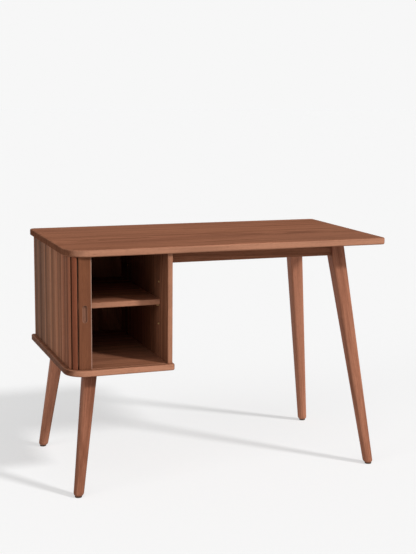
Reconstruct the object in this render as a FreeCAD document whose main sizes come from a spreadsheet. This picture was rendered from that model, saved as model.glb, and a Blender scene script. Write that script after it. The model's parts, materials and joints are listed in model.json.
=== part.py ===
import FreeCAD, Part
import math
import os
from types import SimpleNamespace

import Sketcher

# A writing desk on four splayed legs with a cabinet hung under its left end. The cabinet is closed by a
# tambour: upright slats glued to a canvas, whose end tongues run in a track that is routed round the
# cabinet's corners. Millimetres, +Z up, the front faces -Y, and the origin is on the floor under the middle.

SIZES = {
    # desktop
    "desk_width": 1050.0,
    "desk_depth": 560.0,
    "desk_height": 760.0,
    "top_thickness": 22.0,
    "top_front_left_radius": 70.0,
    "top_corner_radius": 16.0,
    "top_edge_round": 5.0,
    # cabinet base, and the panels that stand on it
    "base_width": 335.0,
    "base_underside": 377.0,
    "base_thickness": 20.0,
    "base_front_left_radius": 62.0,
    "base_corner_radius": 10.0,
    "base_edge_round": 4.0,
    "panel_thickness": 16.0,
    "panel_reveal": 5.0,
    "panel_setback": 12.0,
    "back_setback": 9.0,
    "panel_edge_round": 3.0,
    "liner_offset": 24.0,
    "liner_thickness": 12.0,
    "liner_setback": 42.0,
    # shelf and its pegs
    "shelf_underside": 566.0,
    "shelf_thickness": 18.0,
    "shelf_setback": 92.0,
    "shelf_play": 0.5,
    "shelf_edge_round": 3.0,
    "peg_radius": 2.5,
    "peg_reach": 7.0,
    "peg_depth": 8.5,
    "peg_setback": 104.0,
    "peg_row_low": 504.5,
    "peg_row_high": 636.5,
    # track: its centre line runs inside the base's outline
    "track_inset": 16.5,
    "track_corner_radius": 30.0,
    "track_width": 6.0,
    "track_depth": 6.0,
    # tambour
    "slat_pitch": 18.0,
    "slat_width": 16.6,
    "slat_thickness": 7.0,
    "slat_proud": 4.0,
    "slat_crown": 1.5,
    "slat_end_play": 0.8,
    "tongue_width": 12.0,
    "tongue_thickness": 4.0,
    "tongue_reach": 5.0,
    "lead_offset": 38.0,
    "lead_width": 39.5,
    "lead_thickness": 14.0,
    "lead_edge_round": 3.5,
    "lead_gap": 1.05,
    "lead_tongue_width": 22.0,
    "lead_tongue_margin": 5.0,
    "canvas_thickness": 0.6,
    "canvas_margin": 12.0,
    "canvas_lap": 14.0,
    "pull_width": 13.5,
    "pull_length": 51.0,
    "pull_depth": 8.0,
    "pull_offset": 18.3,
    "pull_centre_height": 566.0,
    # aprons under the desktop
    "apron_height": 43.5,
    "apron_thickness": 18.0,
    "apron_recess": 8.0,
    "block_offset": 25.0,
    "block_thickness": 22.0,
    # legs
    "foot_size": 31.2,
    "short_leg_taper": 0.030,
    "long_leg_taper": 0.0235,
    "lean_across": 0.134,
    "lean_deep": 0.135,
    "foot_radius": 15.9,
    "short_leg_arris_taper": 0.0282,
    "long_leg_arris_taper": 0.0219,
    "shoulder_depth": 1.0,
    "left_foot_inset": 31.5,
    "right_foot_inset": 30.5,
    "foot_setback": 17.5,
    "glide_radius": 11.0,
    "glide_thickness": 3.0,
    # joinery and fastenings
    "spline_thickness": 4.0,
    "spline_reach": 8.0,
    "spline_end_inset": 25.0,
    "tenon_thickness": 6.0,
    "tenon_height": 22.0,
    "tenon_reach": 12.0,
    "leg_tenon_width": 14.0,
    "leg_tenon_offset": 12.0,
    "glue_block_side": 16.0,
    "glue_block_length": 50.0,
    "hole_play": 0.1,
    "hole_end_play": 0.5,
    "bolt_radius": 4.0,
    "bolt_depth_in_leg": 30.0,
    "insert_radius": 6.0,
    "insert_length": 13.0,
    "corner_bolt_length": 60.0,
    "nut_radius": 7.5,
    "nut_height": 6.5,
}

SHARP = (None, None, None, None)
QUARTER_TURN = 90.0
ALONG_X = 0.0
ROOT_TWO = math.sqrt(2.0)

doc = FreeCAD.newDocument("tambour_desk")
subparts = []


class Size:
    """A number together with the spreadsheet expression that gives it."""

    def __init__(self, number, text):
        self.number = float(number)
        self.text = text

    @staticmethod
    def of(value):
        return value if isinstance(value, Size) else Size(value, repr(float(value)))

    def join(self, other, sign, number):
        return Size(number, "(" + self.text + sign + other.text + ")")

    def __add__(self, other):
        other = Size.of(other)
        return self.join(other, " + ", self.number + other.number)

    def __radd__(self, other):
        return Size.of(other) + self

    def __sub__(self, other):
        other = Size.of(other)
        return self.join(other, " - ", self.number - other.number)

    def __rsub__(self, other):
        return Size.of(other) - self

    def __mul__(self, other):
        other = Size.of(other)
        return self.join(other, " * ", self.number * other.number)

    def __rmul__(self, other):
        return Size.of(other) * self

    def __truediv__(self, other):
        other = Size.of(other)
        return self.join(other, " / ", self.number / other.number)

    def __neg__(self):
        return Size.of(0) - self


def make_sheet():
    """Writes the driving dimensions to a sheet and returns them as sizes that name its cells."""
    sheet = doc.addObject("Spreadsheet::Sheet", "Sizes")
    for row, (alias, number) in enumerate(SIZES.items(), start=1):
        sheet.set("A" + str(row), alias)
        sheet.set("B" + str(row), str(number))
        sheet.setAlias("B" + str(row), alias)
    doc.recompute()
    return SimpleNamespace(**{alias: Size(number, "Sizes." + alias) for alias, number in SIZES.items()})


size = make_sheet()


def bind(item, **sizes):
    """Ties properties of an object to the sheet."""
    for name, value in sizes.items():
        value = Size.of(value)
        setattr(item, name, value.number)
        item.setExpression(name, value.text)


def place(item, x, y, z, turn=0.0):
    """Puts an object at a point given from the desk's front left corner on the floor, turned about +Z."""
    corner = (x - size.desk_width / 2, y - size.desk_depth / 2, Size.of(z))
    base = FreeCAD.Vector(*(value.number for value in corner))
    item.Placement = FreeCAD.Placement(base, FreeCAD.Rotation(FreeCAD.Vector(0, 0, 1), turn))
    for name, value in zip("xyz", corner):
        item.setExpression("Placement.Base." + name, value.text)
    return item


def subpart(item, label):
    """Names an object as one of the desk's pieces."""
    item.Label = label
    subparts.append(item)
    return item


# ---- helpers for bodies and sketches ----

def new_body(name):
    return doc.addObject("PartDesign::Body", name)


def new_sketch(body, role, x=0.0, y=0.0, z=0.0):
    """A sketch on one of the body's own planes, moved by x and y in the plane and z off it."""
    sketch = body.newObject("Sketcher::SketchObject", body.Name + "_sketch")
    plane = [item for item in body.Origin.OriginFeatures if item.Role == role][0]
    sketch.AttachmentSupport = (plane, "")
    sketch.MapMode = "FlatFace"
    for name, value in zip("xyz", (Size.of(x), Size.of(y), Size.of(z))):
        sketch.setExpression("AttachmentOffset.Base." + name, value.text)
    return sketch


def constrain(sketch, kind, *references, value):
    """Adds a dimension to a sketch and ties it to the sheet."""
    value = Size.of(value)
    index = sketch.addConstraint(Sketcher.Constraint(kind, *references, value.number))
    name = "size_" + str(index)
    sketch.renameConstraint(index, name)
    sketch.setExpression("Constraints." + name, value.text)


def rounded_rectangle(sketch, width, depth, radii):
    """An outline from the sketch's origin. The radii run anticlockwise from the corner at the origin, and
    None leaves a corner sharp."""
    w, d = Size.of(width).number, Size.of(depth).number
    corners = [(0.0, 0.0), (w, 0.0), (w, d), (0.0, d)]
    heading = [(1.0, 0.0), (0.0, 1.0), (-1.0, 0.0), (0.0, -1.0)]
    cut = [0.0 if radius is None else radius.number for radius in radii]
    lines = []
    for i, (x, y) in enumerate(corners):
        k = (i + 1) % 4
        (ux, uy), (ex, ey) = heading[i], corners[k]
        start = FreeCAD.Vector(x + ux * cut[i], y + uy * cut[i], 0)
        end = FreeCAD.Vector(ex - ux * cut[k], ey - uy * cut[k], 0)
        lines.append(sketch.addGeometry(Part.LineSegment(start, end)))
    for i, line in enumerate(lines):
        before = lines[i - 1]
        sketch.addConstraint(Sketcher.Constraint("Vertical" if i % 2 else "Horizontal", line))
        if radii[i] is None:
            sketch.addConstraint(Sketcher.Constraint("Coincident", before, 2, line, 1))
            continue
        (ux, uy), (vx, vy) = heading[i], heading[i - 1]
        x, y = corners[i]
        centre = FreeCAD.Vector(x + cut[i] * (ux - vx), y + cut[i] * (uy - vy), 0)
        start = math.radians(QUARTER_TURN * (i + 2))
        circle = Part.Circle(centre, FreeCAD.Vector(0, 0, 1), cut[i])
        arc = sketch.addGeometry(Part.ArcOfCircle(circle, start, start + math.radians(QUARTER_TURN)))
        sketch.addConstraint(Sketcher.Constraint("Tangent", before, 2, arc, 1))
        sketch.addConstraint(Sketcher.Constraint("Tangent", arc, 2, line, 1))
        constrain(sketch, "Radius", arc, value=radii[i])
    sketch.addConstraint(Sketcher.Constraint("PointOnObject", lines[0], 1, -1))
    sketch.addConstraint(Sketcher.Constraint("PointOnObject", lines[3], 1, -2))
    constrain(sketch, "DistanceX", -1, 1, lines[1], 1, value=width)
    constrain(sketch, "DistanceY", -1, 1, lines[2], 1, value=depth)


def crowned_rectangle(sketch, width, depth, crown):
    """A rectangle from the sketch's origin whose far side bulges into a shallow arc, crown high."""
    w, shoulder, rise = width.number, (depth - crown).number, crown.number
    corner = [FreeCAD.Vector(x, y, 0) for x, y in ((0, shoulder), (0, 0), (w, 0), (w, shoulder))]
    lines = [sketch.addGeometry(Part.LineSegment(corner[i], corner[i + 1])) for i in range(3)]
    top = FreeCAD.Vector(w / 2, shoulder + rise, 0)
    arc = sketch.addGeometry(Part.Arc(corner[3], top, corner[0]))
    for first, second in zip(lines, lines[1:]):
        sketch.addConstraint(Sketcher.Constraint("Coincident", first, 2, second, 1))
    sketch.addConstraint(Sketcher.Constraint("Coincident", lines[2], 2, arc, 1))
    sketch.addConstraint(Sketcher.Constraint("Coincident", arc, 2, lines[0], 1))
    sketch.addConstraint(Sketcher.Constraint("Coincident", lines[0], 2, -1, 1))
    for line, kind in zip(lines, ("Vertical", "Horizontal", "Vertical")):
        sketch.addConstraint(Sketcher.Constraint(kind, line))
    constrain(sketch, "DistanceX", lines[1], 1, lines[1], 2, value=width)
    constrain(sketch, "DistanceY", lines[0], 2, lines[0], 1, value=depth - crown)
    constrain(sketch, "DistanceY", lines[2], 1, lines[2], 2, value=depth - crown)
    constrain(sketch, "Radius", arc, value=(width * width / 4 + crown * crown) / (2 * crown))


def polygon(sketch, points):
    """A closed outline through points whose coordinates are sizes."""
    count = len(points)
    corner = [FreeCAD.Vector(Size.of(x).number, Size.of(y).number, 0) for x, y in points]
    lines = [sketch.addGeometry(Part.LineSegment(corner[i], corner[(i + 1) % count])) for i in range(count)]
    for i, line in enumerate(lines):
        sketch.addConstraint(Sketcher.Constraint("Coincident", lines[i - 1], 2, line, 1))
        constrain(sketch, "DistanceX", -1, 1, line, 1, value=points[i][0])
        constrain(sketch, "DistanceY", -1, 1, line, 1, value=points[i][1])


def stadium(sketch, x, y, width, length):
    """An upright slot with round ends, centred on x and y."""
    cx, cy, radius = Size.of(x).number, Size.of(y).number, (width / 2).number
    reach = (length / 2).number - radius
    normal = FreeCAD.Vector(0, 0, 1)
    above = Part.Circle(FreeCAD.Vector(cx, cy + reach, 0), normal, radius)
    below = Part.Circle(FreeCAD.Vector(cx, cy - reach, 0), normal, radius)
    top = sketch.addGeometry(Part.ArcOfCircle(above, 0.0, math.pi))
    left = sketch.addGeometry(Part.LineSegment(
        FreeCAD.Vector(cx - radius, cy + reach, 0), FreeCAD.Vector(cx - radius, cy - reach, 0)))
    bottom = sketch.addGeometry(Part.ArcOfCircle(below, math.pi, 2 * math.pi))
    right = sketch.addGeometry(Part.LineSegment(
        FreeCAD.Vector(cx + radius, cy - reach, 0), FreeCAD.Vector(cx + radius, cy + reach, 0)))
    for first, second in ((top, left), (left, bottom), (bottom, right), (right, top)):
        sketch.addConstraint(Sketcher.Constraint("Tangent", first, 2, second, 1))
    sketch.addConstraint(Sketcher.Constraint("Vertical", left))
    constrain(sketch, "Radius", top, value=width / 2)
    constrain(sketch, "DistanceX", -1, 1, top, 3, value=x)
    constrain(sketch, "DistanceY", -1, 1, top, 3, value=y + length / 2 - width / 2)
    constrain(sketch, "DistanceY", -1, 1, bottom, 3, value=y - length / 2 + width / 2)


def pad(body, sketch, length):
    feature = body.newObject("PartDesign::Pad", body.Name + "_pad")
    feature.Profile = sketch
    bind(feature, Length=length)
    doc.recompute()
    return feature


def pocket(body, sketch, length):
    """A pocket that is checked to have cut something."""
    before = body.Shape.Volume
    feature = body.newObject("PartDesign::Pocket", body.Name + "_pocket")
    feature.Profile = sketch
    bind(feature, Length=length)
    doc.recompute()
    if not body.Shape.Volume < before:
        raise RuntimeError(body.Name + ": a pocket cut nothing")
    return feature


def round_edges(body, radius, wanted):
    """Rounds the edges of the body's last feature that wanted picks by their midpoint box."""
    tip = body.Tip
    names = ["Edge" + str(i) for i, edge in enumerate(tip.Shape.Edges, start=1) if wanted(edge.BoundBox)]
    feature = body.newObject("PartDesign::Fillet", body.Name + "_round")
    feature.Base = (tip, names)
    bind(feature, Radius=radius)
    doc.recompute()
    return feature


def level_edge(*heights):
    """True for an edge that lies flat at one of the heights."""
    def wanted(box):
        return any(abs(box.ZMin - z) < 0.01 and abs(box.ZMax - z) < 0.01 for z in heights)
    return wanted


# ---- helpers for primitives ----

def box(x, y, z, length, width, height):
    item = doc.addObject("Part::Box", "box")
    bind(item, Length=length, Width=width, Height=height)
    return place(item, x, y, z)


def rod(x, y, z, radius, length, heading=None):
    """A cylinder that runs up from a point or, given a heading in degrees from +x, level that way."""
    item = doc.addObject("Part::Cylinder", "rod")
    bind(item, Radius=radius, Height=length)
    place(item, x, y, z)
    if heading is not None:
        level = FreeCAD.Rotation(FreeCAD.Vector(0, 1, 0), QUARTER_TURN)
        item.Placement.Rotation = FreeCAD.Rotation(FreeCAD.Vector(0, 0, 1), heading).multiply(level)
    return item


def group(items):
    item = doc.addObject("Part::Compound", "group")
    item.Links = items
    return item


def cut(base, tools):
    """Takes tools away from a solid, and checks that they took something."""
    item = doc.addObject("Part::Cut", "cut")
    item.Base = base
    item.Tool = tools[0] if len(tools) == 1 else group(tools)
    doc.recompute()
    if not item.Shape.Volume < base.Shape.Volume:
        raise RuntimeError(base.Label + ": a cut took nothing")
    return item


# ---- places that several pieces share, from the desk's front left corner on the floor ----

UNDERSIDE = size.desk_height - size.top_thickness
BASE_TOP = size.base_underside + size.base_thickness
PANEL_OUTER = size.base_width - size.panel_reveal
PANEL_INNER = PANEL_OUTER - size.panel_thickness
LINER_INNER = size.liner_offset + size.liner_thickness
BACK_OUTER = size.desk_depth - size.back_setback
BACK_INNER = BACK_OUTER - size.panel_thickness
APRON_BOTTOM = UNDERSIDE - size.apron_height
PANEL_HEIGHT = UNDERSIDE - BASE_TOP

# The canvas lies on the slats' backs, inside the track's centre line; the slats are counted along it.
CANVAS_INSET = size.track_inset + size.slat_thickness - size.slat_proud
CANVAS_RADIUS = size.track_corner_radius - size.slat_thickness + size.slat_proud
SLAT_FACE = size.track_inset - size.slat_proud
CORNER = CANVAS_INSET + CANVAS_RADIUS
ARC_LENGTH = CANVAS_RADIUS * (math.pi / 2)
FIRST_SLAT = CORNER - size.lead_offset + size.lead_gap + size.slat_width / 2


def slat_run(number):
    """How far along the canvas a slat's middle lies from the start of the front corner."""
    return FIRST_SLAT + size.slat_pitch * (number - 1)


# As many slats as fit between the front corner and the back panel.
SIDE_RUN = BACK_INNER - size.slat_width / 2 - CORNER
SLAT_COUNT = int((SIDE_RUN + ARC_LENGTH - FIRST_SLAT).number / size.slat_pitch.number) + 1
LAST_SLAT_Y = CORNER + slat_run(SLAT_COUNT) - ARC_LENGTH


# ---- track and canvas: a section carried round the cabinet's front left corner ----

def track_path(body, inset, radius, front_end, back_end, z):
    """Front run, corner and side run, tangent, as one open line."""
    sketch = new_sketch(body, "XY_Plane", z=z)
    gap, bend = inset.number, radius.number
    near = gap + bend
    circle = Part.Circle(FreeCAD.Vector(near, near, 0), FreeCAD.Vector(0, 0, 1), bend)
    front_run = sketch.addGeometry(Part.LineSegment(
        FreeCAD.Vector(front_end.number, gap, 0), FreeCAD.Vector(near, gap, 0)))
    corner = sketch.addGeometry(Part.ArcOfCircle(circle, math.pi, 1.5 * math.pi))
    side_run = sketch.addGeometry(Part.LineSegment(
        FreeCAD.Vector(gap, near, 0), FreeCAD.Vector(gap, back_end.number, 0)))
    sketch.addConstraint(Sketcher.Constraint("Tangent", front_run, 2, corner, 2))
    sketch.addConstraint(Sketcher.Constraint("Tangent", corner, 1, side_run, 1))
    sketch.addConstraint(Sketcher.Constraint("Horizontal", front_run))
    sketch.addConstraint(Sketcher.Constraint("Vertical", side_run))
    constrain(sketch, "Radius", corner, value=radius)
    constrain(sketch, "DistanceX", -1, 1, front_run, 1, value=front_end)
    constrain(sketch, "DistanceY", -1, 1, front_run, 1, value=inset)
    constrain(sketch, "DistanceX", -1, 1, side_run, 1, value=inset)
    constrain(sketch, "DistanceY", -1, 1, side_run, 2, value=back_end)
    return sketch


def sweep_track(body, kind, inset, radius, front_end, back_end, low, high, thickness):
    """Carries an upright section, thickness wide and centred on the path, round the track."""
    path = track_path(body, inset, radius, front_end, back_end, low)
    section = new_sketch(body, "YZ_Plane", x=inset - thickness / 2, y=low, z=front_end)
    rounded_rectangle(section, thickness, high - low, SHARP)
    doc.recompute()
    before = body.Shape.Volume if body.Tip else 0.0
    feature = body.newObject("PartDesign::" + kind, body.Name + "_track")
    feature.Profile = section
    feature.Spine = path
    doc.recompute()
    if abs(body.Shape.Volume - before) < 1.0:
        raise RuntimeError(body.Name + ": the sweep changed nothing")
    return feature


# ---- desktop and cabinet ----

def plate(name, width, thickness, front_left_radius, corner_radius, edge_round, track_low, track_high):
    """A board with rounded corners and arrises and the slats' track routed in it."""
    body = new_body(name)
    outline = new_sketch(body, "XY_Plane")
    radii = (front_left_radius, corner_radius, corner_radius, corner_radius)
    rounded_rectangle(outline, width, size.desk_depth, radii)
    pad(body, outline, thickness)
    round_edges(body, edge_round, level_edge(0.0, thickness.number))
    sweep_track(body, "SubtractivePipe", size.track_inset, size.track_corner_radius,
                PANEL_INNER, BACK_INNER, track_low, track_high, size.track_width)
    return body


def wall_splines(level, play):
    """The splines let into both sides of the walls' seams at a level or, given a play, the slots for them."""
    half = size.spline_thickness / 2 + play
    reach = size.spline_reach + play
    inset = size.spline_end_inset - play
    runs = ((PANEL_INNER + size.panel_thickness / 2, size.panel_setback, BACK_OUTER),
            (size.liner_offset + size.liner_thickness / 2, size.liner_setback, BACK_INNER))
    splines = [box(x - half, start + inset, level - reach, 2 * half, end - start - 2 * inset, 2 * reach)
               for x, start, end in runs]
    back = BACK_OUTER - size.panel_thickness / 2
    splines.append(box(SLAT_FACE + inset, back - half, level - reach,
                       PANEL_INNER - SLAT_FACE - 2 * inset, 2 * half, 2 * reach))
    return splines


def make_desktop():
    body = plate("desktop_board", size.desk_width, size.top_thickness, size.top_front_left_radius,
                 size.top_corner_radius, size.top_edge_round, Size.of(-1.0), size.track_depth)
    place(body, Size.of(0), Size.of(0), UNDERSIDE)
    subpart(cut(body, wall_splines(UNDERSIDE, size.hole_play)), "desktop")


def make_cabinet_base():
    body = plate("base_board", size.base_width, size.base_thickness, size.base_front_left_radius,
                 size.base_corner_radius, size.base_edge_round,
                 size.base_thickness - size.track_depth, size.base_thickness + 1.0)
    place(body, Size.of(0), Size.of(0), size.base_underside)
    tools = wall_splines(BASE_TOP, size.hole_play)
    for leg in LEFT_LEGS:
        x, y = leg.top
        tools.append(rod(x, y, size.base_underside - 1.0, size.insert_radius, size.insert_length + 1.0))
        tools.append(leg_tenon(leg, size.hole_play))
    subpart(cut(body, tools), "cabinet_base")


def peg_rows():
    return (size.peg_row_low, size.shelf_underside - size.peg_radius, size.peg_row_high)


def peg_sides():
    """For each inner wall: its face, and the way that leads into the wall."""
    return ((PANEL_INNER, 1), (LINER_INNER, -1))


def peg_depths():
    return (size.peg_setback, size.desk_depth - size.peg_setback)


def across(face, way, start, length):
    """The low end of something that reaches from start to start + length into a wall that faces this way."""
    return face + start if way > 0 else face - start - length


def peg_holes(face, way):
    depth = size.peg_depth + size.hole_end_play
    return [rod(across(face, way, 0.0, depth), y, z, size.peg_radius + size.hole_play, depth, ALONG_X)
            for y in peg_depths() for z in peg_rows()]


def wall(name, x, y, width, depth, radii):
    """An upright board on edge between the base and the desktop."""
    body = new_body(name)
    outline = new_sketch(body, "XY_Plane")
    rounded_rectangle(outline, width, depth, radii)
    pad(body, outline, PANEL_HEIGHT)
    return place(body, x, y, BASE_TOP)


def make_walls():
    seams = wall_splines(BASE_TOP, size.hole_play) + wall_splines(UNDERSIDE, size.hole_play)
    panel = wall("panel_board", PANEL_INNER, size.panel_setback, size.panel_thickness,
                 BACK_OUTER - size.panel_setback, (size.panel_edge_round,) * 4)
    mortises = apron_tenons("panel", size.hole_play)
    subpart(cut(panel, seams + peg_holes(*peg_sides()[0]) + mortises), "side_panel")
    back = wall("back_board", SLAT_FACE, BACK_INNER, PANEL_INNER - SLAT_FACE, size.panel_thickness,
                (None, None, None, size.panel_edge_round))
    subpart(cut(back, seams), "back_panel")
    liner = box(size.liner_offset, size.liner_setback, BASE_TOP, size.liner_thickness,
                BACK_INNER - size.liner_setback, PANEL_HEIGHT)
    subpart(cut(liner, seams + peg_holes(*peg_sides()[1])), "inner_side_panel")


def make_shelf():
    body = new_body("shelf_board")
    outline = new_sketch(body, "XY_Plane")
    width = PANEL_INNER - LINER_INNER - 2 * size.shelf_play
    depth = BACK_INNER - size.shelf_play - size.shelf_setback
    rounded_rectangle(outline, width, depth, SHARP)
    pad(body, outline, size.shelf_thickness)

    def front_arris(edge_box):
        return edge_box.XLength > 1.0 and edge_box.YMax < 0.01

    round_edges(body, size.shelf_edge_round, front_arris)
    place(body, LINER_INNER + size.shelf_play, size.shelf_setback, size.shelf_underside)
    subpart(body, "shelf")


def make_pegs():
    length = size.peg_reach + size.peg_depth
    z = peg_rows()[1]
    pegs = [rod(across(face, way, -size.peg_reach, length), y, z, size.peg_radius, length, ALONG_X)
            for face, way in peg_sides() for y in peg_depths()]
    subpart(group(pegs), "shelf_pegs")


def make_wall_splines():
    subpart(group(wall_splines(BASE_TOP, 0.0) + wall_splines(UNDERSIDE, 0.0)), "wall_splines")


# ---- tambour ----

def track_pose(run):
    """The point of the canvas line and the slat's turn, a distance along it from the front corner's start."""
    corner, radius = CORNER.number, CANVAS_RADIUS.number
    inset, arc = CANVAS_INSET.number, ARC_LENGTH.number
    if run < arc:
        angle = run / radius
        return corner - radius * math.sin(angle), corner - radius * math.cos(angle), math.degrees(angle)
    return inset, corner + run - arc, QUARTER_TURN


def add_tongues(body, x, y, width):
    """Tongues at both ends of a piece of the tambour, made as one bar that runs through it."""
    sketch = new_sketch(body, "XY_Plane", x=x, y=y, z=-size.slat_end_play - size.tongue_reach)
    rounded_rectangle(sketch, width, size.tongue_thickness, SHARP)
    pad(body, sketch, PANEL_HEIGHT + 2 * size.tongue_reach)


def slat(number):
    """One slat: flat against the canvas, crowned on its show face, with a tongue at each end."""
    body = new_body("slat_board")
    outline = new_sketch(body, "XY_Plane", x=-size.slat_width / 2)
    crowned_rectangle(outline, size.slat_width, size.slat_thickness, size.slat_crown)
    pad(body, outline, PANEL_HEIGHT - 2 * size.slat_end_play)
    tongue_back = size.slat_thickness - size.slat_proud - size.tongue_thickness / 2
    add_tongues(body, -size.tongue_width / 2, tongue_back, size.tongue_width)
    x, y, turn = track_pose(slat_run(number).number)
    return place(body, Size.of(x), Size.of(y), BASE_TOP + size.slat_end_play, 2 * QUARTER_TURN - turn)


def make_slats():
    for number in range(1, SLAT_COUNT + 1):
        subpart(slat(number), "slat_%02d" % number)


def make_lead_rail():
    """The wide leading slat, with the finger pull in its face and a rebate behind for the canvas."""
    body = new_body("lead_board")
    outline = new_sketch(body, "XY_Plane")
    rounds = (size.lead_edge_round, size.lead_edge_round, None, None)
    rounded_rectangle(outline, size.lead_width, size.lead_thickness, rounds)
    height = PANEL_HEIGHT - 2 * size.slat_end_play
    pad(body, outline, height)
    rebate = new_sketch(body, "XY_Plane", x=-1.0, y=size.slat_thickness, z=height)
    rounded_rectangle(rebate, size.canvas_lap + 1.0, size.lead_thickness, SHARP)
    pocket(body, rebate, height)
    tongue_x = size.lead_width - size.lead_tongue_margin - size.lead_tongue_width
    add_tongues(body, tongue_x, size.slat_proud - size.tongue_thickness / 2, size.lead_tongue_width)
    bottom = BASE_TOP + size.slat_end_play
    pull = new_sketch(body, "XZ_Plane")
    stadium(pull, size.pull_offset, size.pull_centre_height - bottom, size.pull_width, size.pull_length)
    pocket(body, pull, size.pull_depth)
    place(body, size.lead_offset, SLAT_FACE, bottom)
    subpart(body, "tambour_lead_rail")


def make_canvas():
    body = new_body("canvas_strip")
    inset = CANVAS_INSET + size.canvas_thickness / 2
    radius = CANVAS_RADIUS - size.canvas_thickness / 2
    sweep_track(body, "AdditivePipe", inset, radius, size.lead_offset + size.canvas_lap,
                LAST_SLAT_Y + size.slat_width / 2, size.canvas_margin, PANEL_HEIGHT - size.canvas_margin,
                size.canvas_thickness)
    place(body, Size.of(0), Size.of(0), BASE_TOP)
    subpart(body, "tambour_canvas")


# ---- legs and aprons ----

class Leg:
    """A splayed leg: where its foot stands, which way it leans and where it ends."""

    def __init__(self, label, left, front, top_height):
        self.label = label
        self.inward = 1 if left else -1
        self.backward = 1 if front else -1
        self.top_height = top_height
        self.taper = size.short_leg_taper if left else size.long_leg_taper
        self.arris_taper = size.short_leg_arris_taper if left else size.long_leg_arris_taper
        x = size.left_foot_inset if left else size.desk_width - size.right_foot_inset
        y = size.foot_setback if front else size.desk_depth - size.foot_setback
        self.foot = (x, y)
        self.top = self.middle(top_height)

    def lean(self, z):
        """How far the leg's centre has moved from its foot at a height, across the desk and back."""
        return self.inward * size.lean_across * z, self.backward * size.lean_deep * z

    def middle(self, z):
        across_desk, back = self.lean(z)
        return self.foot[0] + across_desk, self.foot[1] + back

    def half(self, z):
        """Half of the leg's width at a height."""
        return (size.foot_size + self.taper * z) / 2

    def face(self, axis, z, way):
        """The leg's flat on one side at a height, across the desk (0) or from front to back (1)."""
        return self.middle(z)[axis] + way * self.half(z)


LEFT_LEGS = [Leg("leg_front_left", True, True, size.base_underside),
             Leg("leg_back_left", True, False, size.base_underside)]
RIGHT_LEGS = [Leg("leg_front_right", False, True, UNDERSIDE),
              Leg("leg_back_right", False, False, UNDERSIDE)]
FRONT_RIGHT = RIGHT_LEGS[0]

# The aprons stand a little behind the legs' faces at the top, and end where the legs stand below them.
FRONT_APRON_FACE = FRONT_RIGHT.face(1, UNDERSIDE, -1) + size.apron_recess
BACK_APRON_FACE = size.desk_depth - FRONT_APRON_FACE
END_APRON_FACE = FRONT_RIGHT.face(0, UNDERSIDE, 1) - size.apron_recess
LONG_APRON_END = FRONT_RIGHT.face(0, APRON_BOTTOM, -1) + size.shoulder_depth
END_APRON_START = FRONT_RIGHT.face(1, APRON_BOTTOM, 1) - size.shoulder_depth
APRON_MIDDLE = UNDERSIDE - size.apron_height / 2


def leg_bar(leg):
    """A slanted bar with level ends that tapers down to the foot and is square all the way."""
    bar = doc.addObject("Part::Wedge", leg.label + "_bar")
    low = size.glide_thickness
    bind(bar, Ymin=low, Ymax=leg.top_height)
    for end, z in (("", low), ("2", leg.top_height)):
        across_desk, back = leg.lean(z)
        half = leg.half(z)
        bind(bar, **{"X" + end + "min": across_desk - half, "X" + end + "max": across_desk + half,
                     "Z" + end + "min": -back - half, "Z" + end + "max": -back + half})
    place(bar, *leg.foot, 0.0)
    bar.Placement.Rotation = FreeCAD.Rotation(FreeCAD.Vector(1, 0, 0), QUARTER_TURN)
    return bar


def leg_cone(leg):
    """The cone on the leg's own axis that eases its arrises at the top and makes the foot nearly round."""
    low, high = -size.foot_size, leg.top_height + size.foot_size
    across_desk, back = (way.number for way in leg.lean(Size.of(1.0)))
    axis = FreeCAD.Vector(across_desk, back, 1.0)
    cone = doc.addObject("Part::Cone", leg.label + "_cone")
    bind(cone, Radius1=size.foot_radius + leg.arris_taper * low,
         Radius2=size.foot_radius + leg.arris_taper * high, Height=(high - low) * axis.Length)
    place(cone, *leg.middle(low), low)
    cone.Placement.Rotation = FreeCAD.Rotation(FreeCAD.Vector(0, 0, 1), axis)
    return cone


def leg_blank(leg):
    blank = doc.addObject("Part::Common", leg.label + "_blank")
    blank.Base = leg_bar(leg)
    blank.Tool = leg_cone(leg)
    return blank


def leg_tenon(leg, play):
    """The tenon that keeps a left leg from turning on its bolt or, given a play, the mortise for it."""
    x, y = leg.top
    half = size.tenon_thickness / 2 + play
    reach = size.tenon_reach + play
    wide = size.leg_tenon_width / 2 + play
    return box(x + leg.inward * size.leg_tenon_offset - half, y - wide, size.base_underside - reach,
               2 * half, 2 * wide, 2 * reach)


def make_left_legs():
    for leg in LEFT_LEGS:
        x, y = leg.top
        depth = size.bolt_depth_in_leg + size.hole_end_play
        bore = rod(x, y, size.base_underside - depth, size.bolt_radius + size.hole_play, depth + 1.0)
        subpart(cut(leg_blank(leg), [bore, leg_tenon(leg, size.hole_play)]), leg.label)


def make_base_inserts():
    inserts = []
    for leg in LEFT_LEGS:
        sleeve = rod(*leg.top, size.base_underside, size.insert_radius, size.insert_length)
        bore = rod(*leg.top, size.base_underside - 1.0, size.bolt_radius + size.hole_play,
                   size.insert_length + 2.0)
        inserts.append(cut(sleeve, [bore]))
    subpart(group(inserts), "base_inserts")


def make_hanger_bolts():
    """The left legs' bolts stand upright in the base; the right legs' lie on the corners' diagonals."""
    length = size.bolt_depth_in_leg + size.insert_length
    bolts = [rod(*leg.top, size.base_underside - size.bolt_depth_in_leg, size.bolt_radius, length)
             for leg in LEFT_LEGS]
    bolts += [diagonal_rod(leg, Size.of(0), size.bolt_radius, size.corner_bolt_length) for leg in RIGHT_LEGS]
    subpart(group(bolts), "hanger_bolts")


def apron_centre_lines():
    half = size.apron_thickness / 2
    return (FRONT_APRON_FACE + half, BACK_APRON_FACE - half)


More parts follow.
